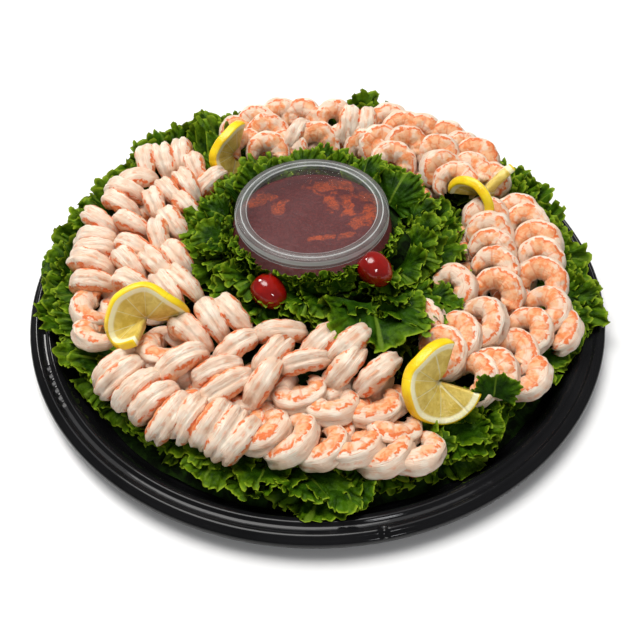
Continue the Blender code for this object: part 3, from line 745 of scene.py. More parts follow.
# The collar's core: share of the way from the tub to its outer side, and height
CORE_STEPS_OUT = ((0.0, 0.016), (0.0, 0.046), (0.35, 0.040), (0.75, 0.028), (1.0, 0.016))
CORE_NEAR, CORE_FAR = 0.0655, 0.0960
collar_rings = []
for share, height in CORE_STEPS_OUT:
    ring = []
    for step in range(CORE_STEPS):
        angle = math.tau * step / CORE_STEPS
        ray = Vector((math.cos(angle), math.sin(angle), 0.0))
        near = TUB_CENTRE + ray * CORE_NEAR
        far = COLLAR_CENTRE + ray * CORE_FAR
        point = near.lerp(far, share)
        wave = 0.0015 * math.sin(13 * angle + 5 * share) if height > 0.02 else 0.0
        ring.append((point.x, point.y, height + wave))
    collar_rings.append(ring)
# It takes the same near-black painted shade as the bed's core.
collar_core = make_piece(
    "lettuce_collar_core", in_a_row(collar_rings),
    skin_rings(collar_rings, closed_run=False), [painted_shade_lettuce],
)
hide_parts("lettuce_collar")
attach(collar_core, "root")


# Each shrimp is cooked, peeled and tail-off: a tapering body of six segments
# curled into a C. A cut along its back has opened, with orange edges, and the
# flesh is cream with orange patches on the inner side of the curl.
BODY_RINGS = 38
BODY_SIDES = 26
LOOSE_CURL = 0.0130
LOOSE_LENGTH = 0.0490
TIGHT_CURL = 0.0120
TIGHT_LENGTH = 0.0545
HALF_DEPTH = 0.0083
HALF_WIDTH = 0.0083
SEGMENTS = 6.0
# Swelling of one segment from seam to seam, and the body's uneven lumps:
# waves round the body, half waves along it and share of its thickness
SEGMENT_SWELL = ((0.0, -0.045), (0.10, 0.0), (0.30, 0.035), (0.70, 0.030), (1.0, -0.045))
LUMPS = ((1, 5, 0.030), (2, 7, 0.030), (3, 6, 0.022), (4, 11, 0.018), (5, 9, 0.014), (2, 17, 0.014))


def shrimp_points(curl, length, size, rings, sides, rng):
    """Points of one shrimp about the middle of its curl, back side up."""
    s = np.linspace(0.0, 1.0, rings)[:, None]
    a = np.linspace(0.0, math.tau, sides, endpoint=False)[None, :]
    from_back = np.minimum(a, math.tau - a)
    turn = length / curl
    opening = rng.uniform(-0.06, 0.10)
    radius = curl * (1.0 + opening * (2.0 * s - 1.0) ** 2)
    angle = math.pi / 2 + turn * (0.5 - s)
    fat = 0.86 + 0.34 * np.sin(math.pi * (0.10 + 0.70 * s)) - 0.55 * s ** 2.2
    head = np.clip(s / 0.045, 0.0, 1.0) ** 0.5
    tail = np.clip((1.0 - s) / 0.04, 0.0, 1.0) ** 0.5
    fat = fat * (0.62 + 0.38 * head) * (0.45 + 0.55 * tail)
    step = (SEGMENTS * s + 0.2) % 1.0
    swell = 1.0 + along_curve(step, SEGMENT_SWELL) * (0.45 + 0.55 * np.cos(a / 2) ** 2)
    depth = HALF_DEPTH * fat * swell
    width = HALF_WIDTH * fat * swell * rng.uniform(0.94, 1.06)
    wave = 1.0 + 0.45 * np.sin(9.0 * s + rng.uniform(0, 6)) + 0.35 * np.sin(23.0 * s + rng.uniform(0, 6))
    fade = np.clip((0.9 - s) / 0.25, 0.0, 1.0)
    middle = rng.uniform(-0.16, 0.16)
    signed = np.where(a > math.pi, a - math.tau, a) - middle
    cut = rng.uniform(0.10, 0.34) * np.exp(-(signed / 0.17) ** 2) * fade * wave
    split = rng.uniform(0.0, 0.12) * np.exp(-((signed - rng.choice((-1.0, 1.0)) * 0.62) / 0.13) ** 2) * wave
    lips = np.exp(-((np.abs(signed) - 0.50) / 0.26) ** 2) * fade
    radial = depth * np.cos(a) * (1.0 - cut - split) + 0.0006 * lips * wave
    side = width * np.sin(a) * (1.0 + 0.10 * lips - 0.5 * split)
    lumps = 0.0
    for waves, halves, share in LUMPS:
        across = np.sin(waves * a + rng.uniform(0, 6))
        lumps = lumps + share * across * np.sin(halves * math.pi * s + rng.uniform(0, 6))
    radial = radial * (1.0 + lumps)
    side = side * (1.0 + lumps)
    ends = np.exp(-(s / 0.05) ** 2) + 0.8 * np.exp(-((1.0 - s) / 0.05) ** 2)
    torn = 0.15 * np.sin(3 * a + rng.uniform(0, 6)) + 0.11 * np.sin(8 * a + rng.uniform(0, 6))
    angle = angle + ends * torn
    twist = rng.uniform(-0.0040, 0.0040) * (2.0 * s - 1.0)
    x = (radius + radial) * np.cos(angle)
    z = (radius + radial) * np.sin(angle)
    points = np.stack(np.broadcast_arrays(x, side + twist, z), axis=-1).reshape(-1, 3)
    return points * size


def add_shrimp(store, place, loose, size, rng, rings=BODY_RINGS, sides=BODY_SIDES):
    """Add one shrimp to a store of points, faces and marks."""
    curl = LOOSE_CURL * rng.uniform(0.92, 1.06) if loose else TIGHT_CURL * rng.uniform(0.95, 1.08)
    length = LOOSE_LENGTH if loose else TIGHT_LENGTH
    points = shrimp_points(curl, length, size, rings, sides, rng)
    turned = np.array(place.to_3x3())
    points = points @ turned.T + np.array(place.translation)
    first = len(store["verts"])
    store["verts"].extend(map(tuple, points))
    for j in range(rings - 1):
        for i in range(sides):
            n = (i + 1) % sides
            a, b = first + j * sides + i, first + j * sides + n
            store["faces"].append((a, b, b + sides, a + sides))
    store["faces"].append(tuple(first + i for i in range(sides))[::-1])
    last = first + (rings - 1) * sides
    store["faces"].append(tuple(last + i for i in range(sides)))
    around = 1.0 - np.abs(np.linspace(0.0, 2.0, sides, endpoint=False) - 1.0)
    store["around"].extend(np.tile(around, rings))
    flip = np.linspace(0.0, 2.0, sides, endpoint=False) > 1.0
    store["flank"].extend(np.tile(flip, rings))
    store["along"].extend(np.repeat(np.linspace(0.0, 1.0, rings), sides))
    store["tone"].extend([rng.random()] * len(points))


# An upright shrimp's middle lies this far behind where it was read, millimetres
LOOSE_BACK = 3.0
# Shrimp that lean less than this stand upright and are curled more loosely
LEANS_OVER = 40


def shrimp_place(x, y, height, yaw, lean, loose, rng):
    """Matrix of a shrimp, its place in millimetres and angles in degrees."""
    back = LOOSE_BACK if loose else 0.0
    return (
        Matrix.Translation(Vector((x, y + back, height)) / 1000)
        @ Matrix.Rotation(math.radians(yaw + rng.uniform(-4, 4)), 4, "Z")
        @ Matrix.Rotation(math.radians(rng.uniform(-8, 8)), 4, "Y")
        @ Matrix.Rotation(math.radians(lean + rng.uniform(-4, 4)), 4, "X")
    )


# Each shrimp as the builder read it from the photo: the pixel of its
# middle, "B" where its back shows or "F" where the side of its curl does, how
# it slants in the picture and how it leans, in degrees, and how high its
# middle lies, in millimetres.
SHRIMP_SEEN = {
    "front": [
        (110, 353, "B", 25, 10, 36), (119, 371, "B", 38, 25, 36), (137, 386, "B", 40, 12, 36),
        (154, 397, "B", 36, 15, 35), (168, 411, "B", 50, 20, 34), (186, 412, "B", 46, 20, 35),
        (209, 418, "B", 56, 20, 35), (224, 426, "B", 52, 20, 35), (238, 434, "B", 44, 25, 34),
        (261, 425, "F", -15, 62, 36), (289, 434, "F", -25, 60, 36), (322, 441, "F", -42, 64, 35),
        (356, 441, "F", -35, 60, 35), (386, 446, "F", -45, 64, 34), (417, 446, "F", -50, 66, 34),
        (163, 344, "F", -130, 70, 38), (182, 360, "B", 24, 15, 38), (217, 366, "B", 18, 20, 39),
        (226, 382, "B", 15, 28, 37), (263, 376, "B", 45, 20, 40), (300, 387, "F", -62, 72, 39),
        (332, 399, "F", -55, 70, 38), (375, 400, "F", -70, 74, 38), (396, 421, "F", -88, 74, 35),
        (191, 332, "B", -40, 12, 40), (235, 343, "B", 24, 22, 41), (273, 352, "B", 44, 15, 41),
        (306, 358, "B", 14, 25, 42), (346, 361, "B", 44, 20, 42), (378, 368, "B", 32, 25, 41),
        (215, 319, "B", -45, 15, 43), (234, 314, "B", -42, 15, 44), (281, 329, "B", 8, 20, 44),
        (320, 337, "B", 34, 20, 45), (349, 341, "B", 40, 20, 44),
    ],
    "right": [
        (516, 212, "F", 80, 55, 38), (526, 222, "F", 66, 52, 40), (537, 240, "F", 56, 52, 41),
        (541, 256, "F", 62, 50, 42), (541, 279, "F", 72, 55, 42), (545, 305, "F", 22, 62, 41),
        (556, 326, "F", 10, 66, 36), (527, 327, "F", 28, 62, 40), (525, 372, "F", 0, 62, 36),
        (514, 350, "F", 50, 60, 37), (485, 216, "F", 86, 50, 42), (489, 232, "F", 64, 52, 43),
        (491, 248, "F", 60, 52, 44), (494, 266, "F", 48, 54, 45), (497, 290, "F", 50, 56, 43),
        (480, 318, "F", 18, 60, 45), (455, 333, "F", 28, 58, 43), (441, 348, "F", 20, 56, 42),
        (420, 318, "F", 35, 50, 42), (466, 378, "B", 25, 30, 38), (492, 369, "F", 32, 60, 40),
        (452, 284, "F", 30, 50, 43),
    ],
    "left": [
        (148, 162, "B", -80, 10, 40), (165, 160, "B", -76, 10, 40), (182, 156, "B", -74, 8, 40),
        (197, 168, "B", -72, 8, 41), (138, 179, "B", 0, 15, 38), (126, 189, "B", -16, 18, 38),
        (122, 202, "B", -22, 20, 37), (101, 220, "B", -30, 15, 37), (97, 237, "B", -4, 15, 36),
        (95, 249, "B", -4, 15, 35), (92, 262, "B", -12, 15, 37), (95, 280, "B", -12, 18, 36),
        (96, 304, "F", -150, 75, 35), (98, 330, "F", -160, 72, 34), (189, 184, "B", -50, 12, 42),
        (172, 191, "B", -50, 15, 43), (157, 204, "B", -60, 12, 42), (134, 222, "B", -36, 25, 41),
        (162, 236, "B", -68, 15, 43), (137, 244, "B", -30, 20, 40), (130, 263, "B", -46, 12, 40),
        (160, 263, "B", -42, 20, 43), (133, 283, "B", -25, 12, 38), (168, 290, "B", -40, 12, 41),
        (186, 284, "B", -50, 12, 42), (179, 256, "B", -45, 15, 41), (176, 222, "B", -60, 15, 42),
        (188, 206, "B", -50, 15, 41), (209, 178, "B", 30, 20, 40),
    ],
    "back": [
        (238, 131, "F", 110, 50, 40), (255, 121, "F", 104, 48, 45), (280, 116, "F", 96, 48, 45),
        (301, 116, "F", 92, 50, 46), (334, 116, "F", 100, 44, 48), (348, 121, "B", 86, 5, 45),
        (367, 121, "B", 84, 5, 45), (388, 121, "F", 82, 46, 46), (403, 129, "F", 92, 46, 45),
        (421, 131, "F", 80, 46, 45), (446, 137, "F", 84, 46, 43), (461, 149, "F", 96, 48, 42),
        (475, 156, "F", 68, 50, 42), (489, 179, "F", 50, 55, 37), (469, 171, "F", 78, 58, 39),
        (267, 132, "F", 100, 48, 45), (297, 132, "B", 60, 10, 43), (406, 144, "F", 100, 44, 47),
        (437, 151, "F", 92, 46, 46), (380, 143, "F", 110, 50, 43), (392, 160, "F", 90, 50, 41),
        (441, 168, "F", 120, 50, 43), (455, 180, "F", 80, 60, 41), (246, 145, "F", 110, 50, 42),
        (266, 150, "F", 100, 50, 42), (286, 147, "F", 95, 50, 41), (316, 141, "F", 98, 48, 43),
        (345, 141, "F", 90, 50, 42), (364, 146, "F", 90, 50, 41),
    ],
}
# Two were then given directly: their number, x, y and height in millimetres, and
# turn and lean in degrees
SHRIMP_SET = {"front": (0, (-144, -99, 30, 33, 10)), "right": (19, (109, -113, 36, 118, 56))}
PHOTO_SIZE = 640
# What the photo shows of a shrimp is this far above its middle, millimetres
BACK_ABOVE, FLANK_ABOVE = 11, 6


def point_seen(column, row, height):
    """Point at a height that the camera shows at a pixel of the photo."""
    focus = PHOTO_SIZE * LENS / SENSOR_WIDTH
    aside = (column - PHOTO_SIZE * (0.5 - LENS_SHIFT[0])) / focus
    above = (PHOTO_SIZE * (0.5 + LENS_SHIFT[1]) - row) / focus
    ray = right * aside + up * above - toward_camera
    return spot + ray * ((height - spot.z) / ray.z)


def place_read(column, row, facing, slant, lean, height):
    """x, y, height, turn and lean of a shrimp, in whole millimetres and degrees."""
    above = BACK_ABOVE if facing == "B" else FLANK_ABOVE
    middle = point_seen(column, row, (height + above) / 1000)
    slant = math.radians(slant)
    turned = math.degrees(math.atan2(math.sin(slant) / math.sin(LOOK_DOWN), math.cos(slant)))
    if facing == "F":
        turned += 90
    return round(middle.x * 1000), round(middle.y * 1000), height, round(turned), lean


flesh, tree, shader = new_finish("shrimp_flesh", 0.34)
around = attribute(tree, "around")
along = attribute(tree, "along")
tone = attribute(tree, "tone")
flank_side = attribute(tree, "flank")
cloud = mottle(tree, 210.0, 3.0, distortion=0.4)
drift = mottle(tree, 95.0, 2.0)
patchy = mottle(tree, 150.0, 2.0)
# Fibres that run along the body
fibres = add_node(tree, "ShaderNodeTexNoise", Scale=6.0, Detail=3.0)
strands = tree.nodes.new("ShaderNodeCombineXYZ")
join(tree, times(tree, around, 9.0), strands.inputs["X"])
join(tree, times(tree, along, 1.3), strands.inputs["Y"])
join(tree, plus(tree, times(tree, tone, 40.0), times(tree, flank_side, 7.0)),
     strands.inputs["Z"])
tree.links.new(strands.outputs[0], fibres.inputs["Vector"])
fibre = fibres.outputs["Fac"]
cream = blend(tree, step_between(tree, drift, 0.35, 0.65), (0.90, 0.66, 0.49), (0.96, 0.82, 0.67))
cream = blend(tree, step_between(tree, fibre, 0.46, 0.34), cream, (0.85, 0.50, 0.33))
peach = blend(tree, step_between(tree, cloud, 0.42, 0.66), (0.92, 0.51, 0.28), (0.90, 0.28, 0.08))
wander = times(tree, work_out(tree, "SUBTRACT", cloud, 0.5), 0.34)
edge = plus(tree, around, wander)
flank = times(tree, step_between(tree, edge, 0.27, 0.36), step_between(tree, edge, 0.98, 0.80))
showing = step_between(tree, plus(tree, drift, times(tree, tone, 0.16)), 0.47, 0.60)
body = blend(tree, times(tree, flank, showing), cream, peach)
line = times(tree, step_between(tree, edge, 0.22, 0.27), step_between(tree, edge, 0.36, 0.30))
broken = step_between(tree, plus(tree, patchy, times(tree, tone, 0.08)), 0.47, 0.54)
body = blend(tree, times(tree, line, broken), body, (0.84, 0.185, 0.035))
rings = work_out(tree, "FRACT", plus(tree, times(tree, along, SEGMENTS), 0.2))
ring_line = times(tree, step_between(tree, rings, 0.74, 0.90), step_between(tree, rings, 1.0, 0.95))
ring_line = times(tree, times(tree, ring_line, 0.55), times(tree, flank, broken))
body = blend(tree, ring_line, body, (0.82, 0.20, 0.05))
slit = times(tree, step_between(tree, around, 0.070, 0.010), step_between(tree, along, 0.86, 0.76))
slit = times(tree, slit, step_between(tree, patchy, 0.50, 0.66))
body = blend(tree, slit, body, (0.88, 0.46, 0.28))
paint(tree, shader, body)
settle(shader, Subsurface_Weight=0.06, Subsurface_Radius=(0.004, 0.0018, 0.0012), Subsurface_Scale=0.5)
join(tree, plus(tree, times(tree, cloud, 0.25), 0.26), shader.inputs["Roughness"])
relief = plus(tree, times(tree, fibre, 1.2), times(tree, cloud, 0.7))
add_bump(tree, shader, relief, 0.6, 0.0018)

# Under the shrimp that show lie others, seen only through the gaps: from and
# to which angle in each arc, and the radius of each row
UNDER_SPANS = {"front": (209, 296), "right": (-40, 20), "left": (127, 200), "back": (40, 106)}
UNDER_ROWS = (0.118, 0.137, 0.156)
UNDER_HEIGHT = 26.0
UNDER_SPACING = 0.024
UNDER_SIZE = 0.95
UNDER_RINGS = 20
UNDER_SIDES = 12
SHRIMP_MARKS = ("around", "flank", "along", "tone")

for arc_name, seen in SHRIMP_SEEN.items():
    places = [place_read(*shrimp) for shrimp in seen]
    if arc_name in SHRIMP_SET:
        index, place = SHRIMP_SET[arc_name]
        places[index] = place
    rng = random.Random(arc_name)
    store = {key: [] for key in ("verts", "faces", *SHRIMP_MARKS)}
    for x, y, height, yaw, lean in places:
        loose = abs(lean) < LEANS_OVER
        place = shrimp_place(x, y, height, yaw, lean, loose, rng)
        add_shrimp(store, place, loose, rng.uniform(0.96, 1.05), rng)
    start, end = UNDER_SPANS[arc_name]
    for row in UNDER_ROWS:
        count = int(math.radians(end - start) * row / UNDER_SPACING)
        for index in range(count):
            angle = math.radians(start + (end - start) * (index + rng.uniform(0.3, 0.7)) / count)
            x = 1000 * (RING_CENTRE.x + row * math.cos(angle))
            y = 1000 * (RING_CENTRE.y + row * math.sin(angle))
            near = min(places, key=lambda p: (p[0] - x) ** 2 + (p[1] - y) ** 2)
            lean = near[4] * 0.5 + LEANS_OVER
            place = shrimp_place(x, y, UNDER_HEIGHT, near[3] + rng.uniform(-20, 20), lean, False, rng)
            add_shrimp(store, place, False, UNDER_SIZE, rng, UNDER_RINGS, UNDER_SIDES)
    marks = {key: store[key] for key in SHRIMP_MARKS}
    arc = make_piece("shrimp_" + arc_name, store["verts"], store["faces"], [flesh], marks)
    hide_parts("shrimp_arc_" + arc_name)
    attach(arc, "root")


# Each lemon twist is a slice seven to nine millimetres thick, cut from its rind
# to its middle and twisted so that it stands: yellow rind, pale pith, wet flesh.
SLICE_STEPS = 96
SLICE_BEND = 4.3
SLICE_WALLS = 7.2
FIRST_WALL = 0.3
# Headings and rises, in degrees, of even points along each slice's rind. They
# were fitted by a program to the slice's outline in the photo.
TWISTS = {
    "front_left": {
        "centre": Vector((-0.1255, -0.0640, 0.0528)), "radius": 0.0315, "thickness": 0.0066,
        "headings": (-97, -141, -161, 180, 55, -4, 9), "rises": (14, -8, 31, 61, 77, 43, -6),
    },
    "front_right": {
        "centre": Vector((0.0825, -0.1236, 0.0496)), "radius": 0.0305, "thickness": 0.0090,
        "headings": (63, -179, -163, -141, -124, -77, -18), "rises": (53, 61, 37, 11, -18, -44, -6),
    },
    "back_left": {
        "centre": Vector((-0.0726, 0.1389, 0.0438)), "radius": 0.0300, "thickness": 0.0085,
        "headings": (51, -114, -128, -128, -123, -93, -7), "rises": (63, 73, 47, 24, 10, -44, -42),
    },
    "back_right": {
        "centre": Vector((0.1425, 0.0727, 0.0500)), "radius": 0.0310, "thickness": 0.0080,
        "headings": (177, -173, -128, -94, -71, 56, 30), "rises": (5, 33, 48, 21, -78, -13, 32),
    },
}
# Share of the slice's radius and half thickness along its section, face to face
SLICE_SECTION = (
    (0.02, 0.85), (0.14, 0.95), (0.28, 1.0), (0.42, 1.0), (0.56, 1.0), (0.68, 1.0),
    (0.78, 0.98), (0.835, 0.92), (0.865, 0.95), (0.91, 1.0), (0.955, 0.99), (0.985, 0.88),
    (1.0, 0.60), (1.006, 0.0), (1.0, -0.60), (0.985, -0.88), (0.955, -0.99), (0.91, -1.0),
    (0.865, -0.95), (0.835, -0.92), (0.78, -0.98), (0.68, -1.0), (0.56, -1.0),
    (0.42, -1.0), (0.28, -1.0), (0.14, -0.95), (0.02, -0.85),
)


def twist_direction(twist, share):
    """Unit vector from a twisted slice's middle to a point of its rind."""
    ways = []
    for heading, rise in zip(twist["headings"], twist["rises"]):
        flat = math.cos(math.radians(rise))
        ways.append(Vector((
            flat * math.cos(math.radians(heading)), flat * math.sin(math.radians(heading)),
            math.sin(math.radians(rise)),
        )))
    ways = [2 * ways[0] - ways[1]] + ways + [2 * ways[-1] - ways[-2]]
    spans = len(ways) - 3
    span = min(int(share * spans), spans - 1)
    t = share * spans - span
    a, b, c, d = ways[span:span + 4]
    way = 2 * b + (c - a) * t + (2 * a - 5 * b + 4 * c - d) * t ** 2 + (3 * b - a - 3 * c + d) * t ** 3
    return way.normalized()


lemon, tree, shader = new_finish("lemon_slice", 0.30)
outness = attribute(tree, "outness")
sector = attribute(tree, "sector")
grain = mottle(tree, 420.0, 3.0)
pulp_noise = mottle(tree, 160.0, 3.0, distortion=0.8)
pulp = blend(tree, step_between(tree, pulp_noise, 0.35, 0.65), (0.66, 0.47, 0.070), (0.80, 0.62, 0.15))
wedge = work_out(tree, "FRACT", sector)
from_wall = work_out(tree, "ABSOLUTE", work_out(tree, "SUBTRACT", wedge, 0.5))
wall = times(tree, from_wall, outness)
wall = work_out(tree, "SUBTRACT", times(tree, outness, 0.5), wall)
membrane = step_between(tree, wall, 0.032, 0.010)
inside = blend(tree, membrane, pulp, (0.82, 0.73, 0.38))
heart = step_between(tree, outness, 0.12, 0.05)
inside = blend(tree, heart, inside, (0.88, 0.83, 0.56))
pith = blend(tree, grain, (0.95, 0.87, 0.50), (0.98, 0.93, 0.64))
slice_colour = blend(tree, step_between(tree, outness, 0.80, 0.86), inside, pith)
rind_tone = step_between(tree, mottle(tree, 60.0), 0.35, 0.65)
rind = blend(tree, rind_tone, (0.93, 0.60, 0.004), (0.96, 0.72, 0.015))
slice_colour = blend(tree, step_between(tree, outness, 0.945, 0.970), slice_colour, rind)
paint(tree, shader, slice_colour)
settle(shader, Subsurface_Weight=0.15, Subsurface_Radius=(0.004, 0.003, 0.001), Subsurface_Scale=0.5)
vesicles = mottle(tree, 620.0, 2.0)
add_bump(tree, shader, plus(tree, vesicles, times(tree, membrane, 0.8)), 0.45, 0.0009)

for name, twist in TWISTS.items():
    rings = []
    outness_marks = []
    sector_marks = []
    for step in range(SLICE_STEPS + 1):
        share = step / SLICE_STEPS
        out = twist_direction(twist, share)
        before = twist_direction(twist, max(share - 0.01, 0.0))
        after = twist_direction(twist, min(share + 0.01, 1.0))
        square = before.cross(after).normalized()
        angle = SLICE_BEND * share
        wobble = 1.0 + 0.012 * math.sin(3.1 * angle + 1.0) + 0.008 * math.sin(7.3 * angle)
        ring = []
        for far, thick in SLICE_SECTION:
            thin = min(1.0, 0.25 + 3.0 * far)
            point = out * (far * twist["radius"] * wobble)
            point = point + square * (thick * 0.5 * twist["thickness"] * thin)
            ring.append(tuple(twist["centre"] + point))
            outness_marks.append(far)
            sector_marks.append(share * SLICE_WALLS + FIRST_WALL)
        rings.append(ring)
    verts = in_a_row(rings)
    faces = skin_rings(rings, closed_run=False)
    count = len(SLICE_SECTION)
    faces.append(tuple(range(count)))
    faces.append(tuple(range(len(verts) - count, len(verts)))[::-1])
    piece = make_piece("lemon_" + name, verts, faces, [lemon],
                       {"outness": outness_marks, "sector": sector_marks})
    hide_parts("lemon_twist_" + name)
    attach(piece, "root")


# The two tomatoes are small, oblong and glossy. They lie whole on the collar,
# in front of the tub, each with a slight dimple where its stalk was.
TOMATO_HALF_LENGTH = 0.0145
TOMATO_HALF_WIDTH = 0.0124
TOMATO_RINGS = 32
TOMATO_SIDES = 48
TOMATO_DIMPLE = 0.0016
TOMATOES = {
    # centre, turn about the upright axis and tilt of the long axis
    "left": (Vector((-0.0356, -0.0470, 0.0602)), 2.45, 1.25),
    "right": (Vector((0.0434, -0.0354, 0.0700)), 2.60, 1.00),
}
skin, tree, shader = new_finish("tomato_skin", 0.14)
streaks = mottle(tree, 70.0, 3.0)
streaky = step_between(tree, streaks, 0.35, 0.7)
paint(tree, shader, blend(tree, streaky, (0.19, 0.003, 0.002), (0.31, 0.007, 0.004)))
join(tree, plus(tree, times(tree, streaks, 0.10), 0.06), shader.inputs["Roughness"])
settle(shader, Coat_Weight=0.25, Coat_Roughness=0.05)
add_bump(tree, shader, mottle(tree, 130.0, 2.0), 0.45, 0.0012)
for name, (centre, turn_angle, tilt) in TOMATOES.items():
    rings = []
    for j in range(1, TOMATO_RINGS):
        polar = math.pi * j / TOMATO_RINGS
        along_axis = math.cos(polar)
        width = math.sin(polar) ** 0.90 * TOMATO_HALF_WIDTH * (0.98 + 0.11 * along_axis)
        dimple = TOMATO_DIMPLE * math.exp(-(polar / 0.28) ** 2)
        ring = []
        for i in range(TOMATO_SIDES):
            angle = math.tau * i / TOMATO_SIDES
            lobes = 0.028 * math.sin(3 * angle + 1.0) + 0.010 * math.sin(7 * angle)
            bulge = 1.0 + lobes * math.sin(polar)
            ring.append(Vector((
                width * bulge * math.cos(angle), width * bulge * math.sin(angle),
                along_axis * TOMATO_HALF_LENGTH - dimple,
            )))
        rings.append(ring)
    spin = Matrix.Rotation(turn_angle, 3, "Z") @ Matrix.Rotation(tilt, 3, "Y")
    verts = [tuple(centre + spin @ point) for point in in_a_row(rings)]
    faces = [face[::-1] for face in skin_rings(rings, closed_run=False)]
    faces.append(tuple(range(TOMATO_SIDES))[::-1])
    faces.append(tuple(range(len(verts) - TOMATO_SIDES, len(verts))))
    piece = make_piece("tomato_" + name + "_fruit", verts, faces, [skin])
    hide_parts("tomato_" + name)
    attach(piece, "root")


# The sauce fills the tub up to its shoulder: dark red, with orange oil and
# spice smeared near the lid. Its side reaches just into the tub's wall.
SAUCE_LEVEL = 0.0605
SAUCE_RINGS = 40
SAUCE_SPAN = 0.0610
sauce_profile = [(0.0001, SAUCE_LEVEL), (0.0003, SAUCE_LEVEL)]
sauce_profile += [(0.0010 + SAUCE_SPAN * ring / SAUCE_RINGS, SAUCE_LEVEL) for ring in range(SAUCE_RINGS)]
sauce_profile += [
    (0.0620, SAUCE_LEVEL), (0.0632, SAUCE_LEVEL - 0.0004), (0.0630, 0.0580), (0.0585, 0.0340),
    (0.0518, 0.0058), (0.0490, 0.0034), (0.0003, 0.0033), (0.0001, 0.0033),
]
# Orange smears on the sauce: middle from the tub's axis, half length, half
# width in millimetres and heading in degrees
SMEARS = (
    (-39, 33, 15, 6, 32), (-27, 22, 10, 7, 60), (8, 44, 9, 11, 70), (26, 48, 16, 7, -10),
    (44, 34, 12, 9, -50), (30, 22, 5, 16, 8), (47, 12, 14, 7, 80), (36, 2, 10, 6, 70),
    (8, -14, 15, 3, 10), (28, -12, 9, 3, 25), (16, 26, 5, 12, 20),
)
BELOW_SURFACE = -0.5


def turned_piece(name, profile, steps, materials, slots=None):
    """Mesh turned about the tub's axis from (radius, height) pairs."""
    rings = []
    for step in range(steps):
        angle = math.tau * step / steps
        rings.append([turned_point(radius, angle, height, TUB_CENTRE) for radius, height in profile])
    verts = in_a_row(rings)
    marks = {"reach": [radius for _ in rings for radius, _ in profile]}
    face_slots = list(slots) * steps if slots else None
    return make_piece(name, verts, skin_rings(rings), materials, marks, face_slots)


dip, tree, shader = new_finish("cocktail_sauce", 0.30)
swirl = mottle(tree, 60.0, 4.0, distortion=1.6)
specks = mottle(tree, 600.0, 2.0)
deep_red = blend(tree, step_between(tree, specks, 0.4, 0.7), (0.078, 0.006, 0.005), (0.130, 0.013, 0.010))
oil = times(tree, attribute(tree, "smear"), 1.25)
oil = plus(tree, oil, times(tree, work_out(tree, "SUBTRACT", swirl, 0.5), 2.6))
streaky = step_between(tree, mottle(tree, 240.0, 3.0, distortion=2.0), 0.42, 0.62)
orange = blend(tree, streaky, (0.21, 0.030, 0.007), (0.47, 0.065, 0.005))
paint(tree, shader, blend(tree, step_between(tree, oil, 0.42, 0.80), deep_red, orange))
add_bump(tree, shader, plus(tree, swirl, times(tree, specks, 0.3)), 0.4, 0.0012)
sauce = turned_piece("sauce_fill", sauce_profile, 144, [dip])
smear_marks = []
for vertex in sauce.data.vertices:
    amount = BELOW_SURFACE if vertex.co.z < SAUCE_LEVEL - 0.001 else 0.0
    for x, y, long, wide, heading in SMEARS:
        dx = 1000 * (vertex.co.x - TUB_CENTRE.x) - x
        dy = 1000 * (vertex.co.y - TUB_CENTRE.y) - y
        turned = math.radians(heading)
        forth = (dx * math.cos(turned) + dy * math.sin(turned)) / long
        aside = (dy * math.cos(turned) - dx * math.sin(turned)) / wide
        amount = max(amount, math.exp(-(forth ** 2 + aside ** 2))) if amount >= 0.0 else amount
    smear_marks.append(amount)
layer = sauce.data.attributes.new("smear", "FLOAT", "POINT")
layer.data.foreach_set("value", smear_marks)
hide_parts("sauce")
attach(sauce, "root")


# The tub is thin clear plastic with a rounded shoulder, so that the sauce
# shows through its wall; above the sauce the lettuce behind it shows.
tub_profile = [
    (0.0001, 0.0030), (0.0004, 0.0030), (0.0485, 0.0030), (0.0515, 0.0060),
    (0.0633, 0.0602), (0.0626, 0.0640), (0.0600, 0.0664), (0.0570, 0.0700),
    (0.0563, 0.0784), (0.0575, 0.0784), (0.0580, 0.0717), (0.0610, 0.0676),
    (0.0636, 0.0648), (0.0645, 0.0606), (0.0528, 0.0054), (0.0497, 0.0018),
    (0.0004, 0.0018), (0.0001, 0.0018),
]
clear, tree, shader = new_finish("tub_clear_plastic", 0.08)
paint(tree, shader, two_tones(tree, 50.0, 2.0, (0.05, 0.05, 0.045), (0.09, 0.09, 0.08)))
settle(shader, Alpha=0.07)
add_bump(tree, shader, mottle(tree, 90.0, 2.0), 0.2, 0.0006)
tub = turned_piece("tub_shell", tub_profile, 128, [clear])
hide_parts("tub")
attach(tub, "root")
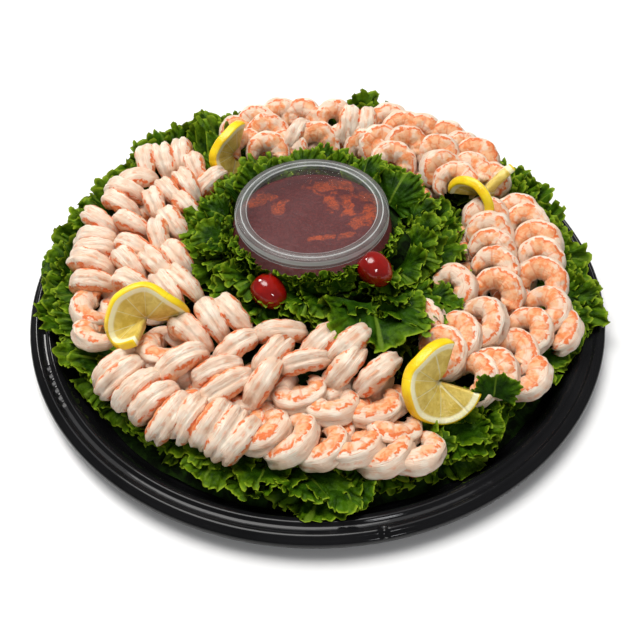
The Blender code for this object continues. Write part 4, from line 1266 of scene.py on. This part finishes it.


# The lid is clear plastic too, pressed over the tub's rim: a sunk see-through
# panel, a thick raised ring that looks grey, with highlights painted along its
# moulded edges, and a short skirt that closes on the rim.
LID_TOP = 0.0800
lid_profile = [
    (0.0001, LID_TOP - 0.0032), (0.0004, LID_TOP - 0.0032),
    (0.0300, LID_TOP - 0.0032), (0.0488, LID_TOP - 0.0032),
    (0.0500, LID_TOP - 0.0029), (0.0507, LID_TOP - 0.0014), (0.0513, LID_TOP - 0.0002),
    (0.0521, LID_TOP), (0.0550, LID_TOP), (0.0556, LID_TOP - 0.0004), (0.0562, LID_TOP),
    (0.0590, LID_TOP), (0.0598, LID_TOP - 0.0006), (0.0602, LID_TOP - 0.0020),
    (0.0603, LID_TOP - 0.0042), (0.0607, LID_TOP - 0.0046), (0.0607, LID_TOP - 0.0072),
    (0.0604, LID_TOP - 0.0078), (0.0597, LID_TOP - 0.0078), (0.0592, LID_TOP - 0.0030),
    (0.0586, LID_TOP - 0.0011), (0.0522, LID_TOP - 0.0011), (0.0510, LID_TOP - 0.0042),
    (0.0300, LID_TOP - 0.0042), (0.0004, LID_TOP - 0.0042), (0.0001, LID_TOP - 0.0042),
]
PANEL_SLOT, RING_SLOT = 0, 1
lid_slots = [PANEL_SLOT] * 4 + [RING_SLOT] * 17 + [PANEL_SLOT] * 5
# Radius of each of the ring's moulded edges, where a highlight is painted
LID_LINES = (0.0513, 0.0556, 0.0602)
panel, tree, shader = new_finish("lid_panel_plastic", 0.06)
paint(tree, shader, two_tones(tree, 40.0, 3.0, (0.22, 0.15, 0.16), (0.30, 0.21, 0.22)))
settle(shader, Alpha=0.08, Specular_IOR_Level=0.18)
add_bump(tree, shader, mottle(tree, 60.0, 2.0), 0.05, 0.0004)
ring_plastic, tree, shader = new_finish("lid_ring_plastic", 0.22)
cloudy = two_tones(tree, 70.0, 3.0, (0.17, 0.18, 0.17), (0.27, 0.28, 0.27))
reach_mark = attribute(tree, "reach")
painted_edge_highlights = 0.0
# Lighter, less see-through bands at these edges: painted highlights
for edge_radius in LID_LINES:
    from_line = work_out(tree, "ABSOLUTE", work_out(tree, "SUBTRACT", reach_mark, edge_radius))
    painted_edge_highlights = plus(tree, painted_edge_highlights, step_between(tree, from_line, 0.0006, 0.0001))
painted_edge_highlights = work_out(tree, "MINIMUM", painted_edge_highlights, 1.0)
paint(tree, shader, blend(tree, painted_edge_highlights, cloudy, (0.66, 0.68, 0.67)))
join(tree, plus(tree, times(tree, painted_edge_highlights, 0.42), 0.30), shader.inputs["Alpha"])
add_bump(tree, shader, mottle(tree, 140.0, 2.0), 0.2, 0.0006)
lid = turned_piece("lid_cap", lid_profile, 160, [panel, ring_plastic], lid_slots)
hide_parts("tub_lid")
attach(lid, "root")
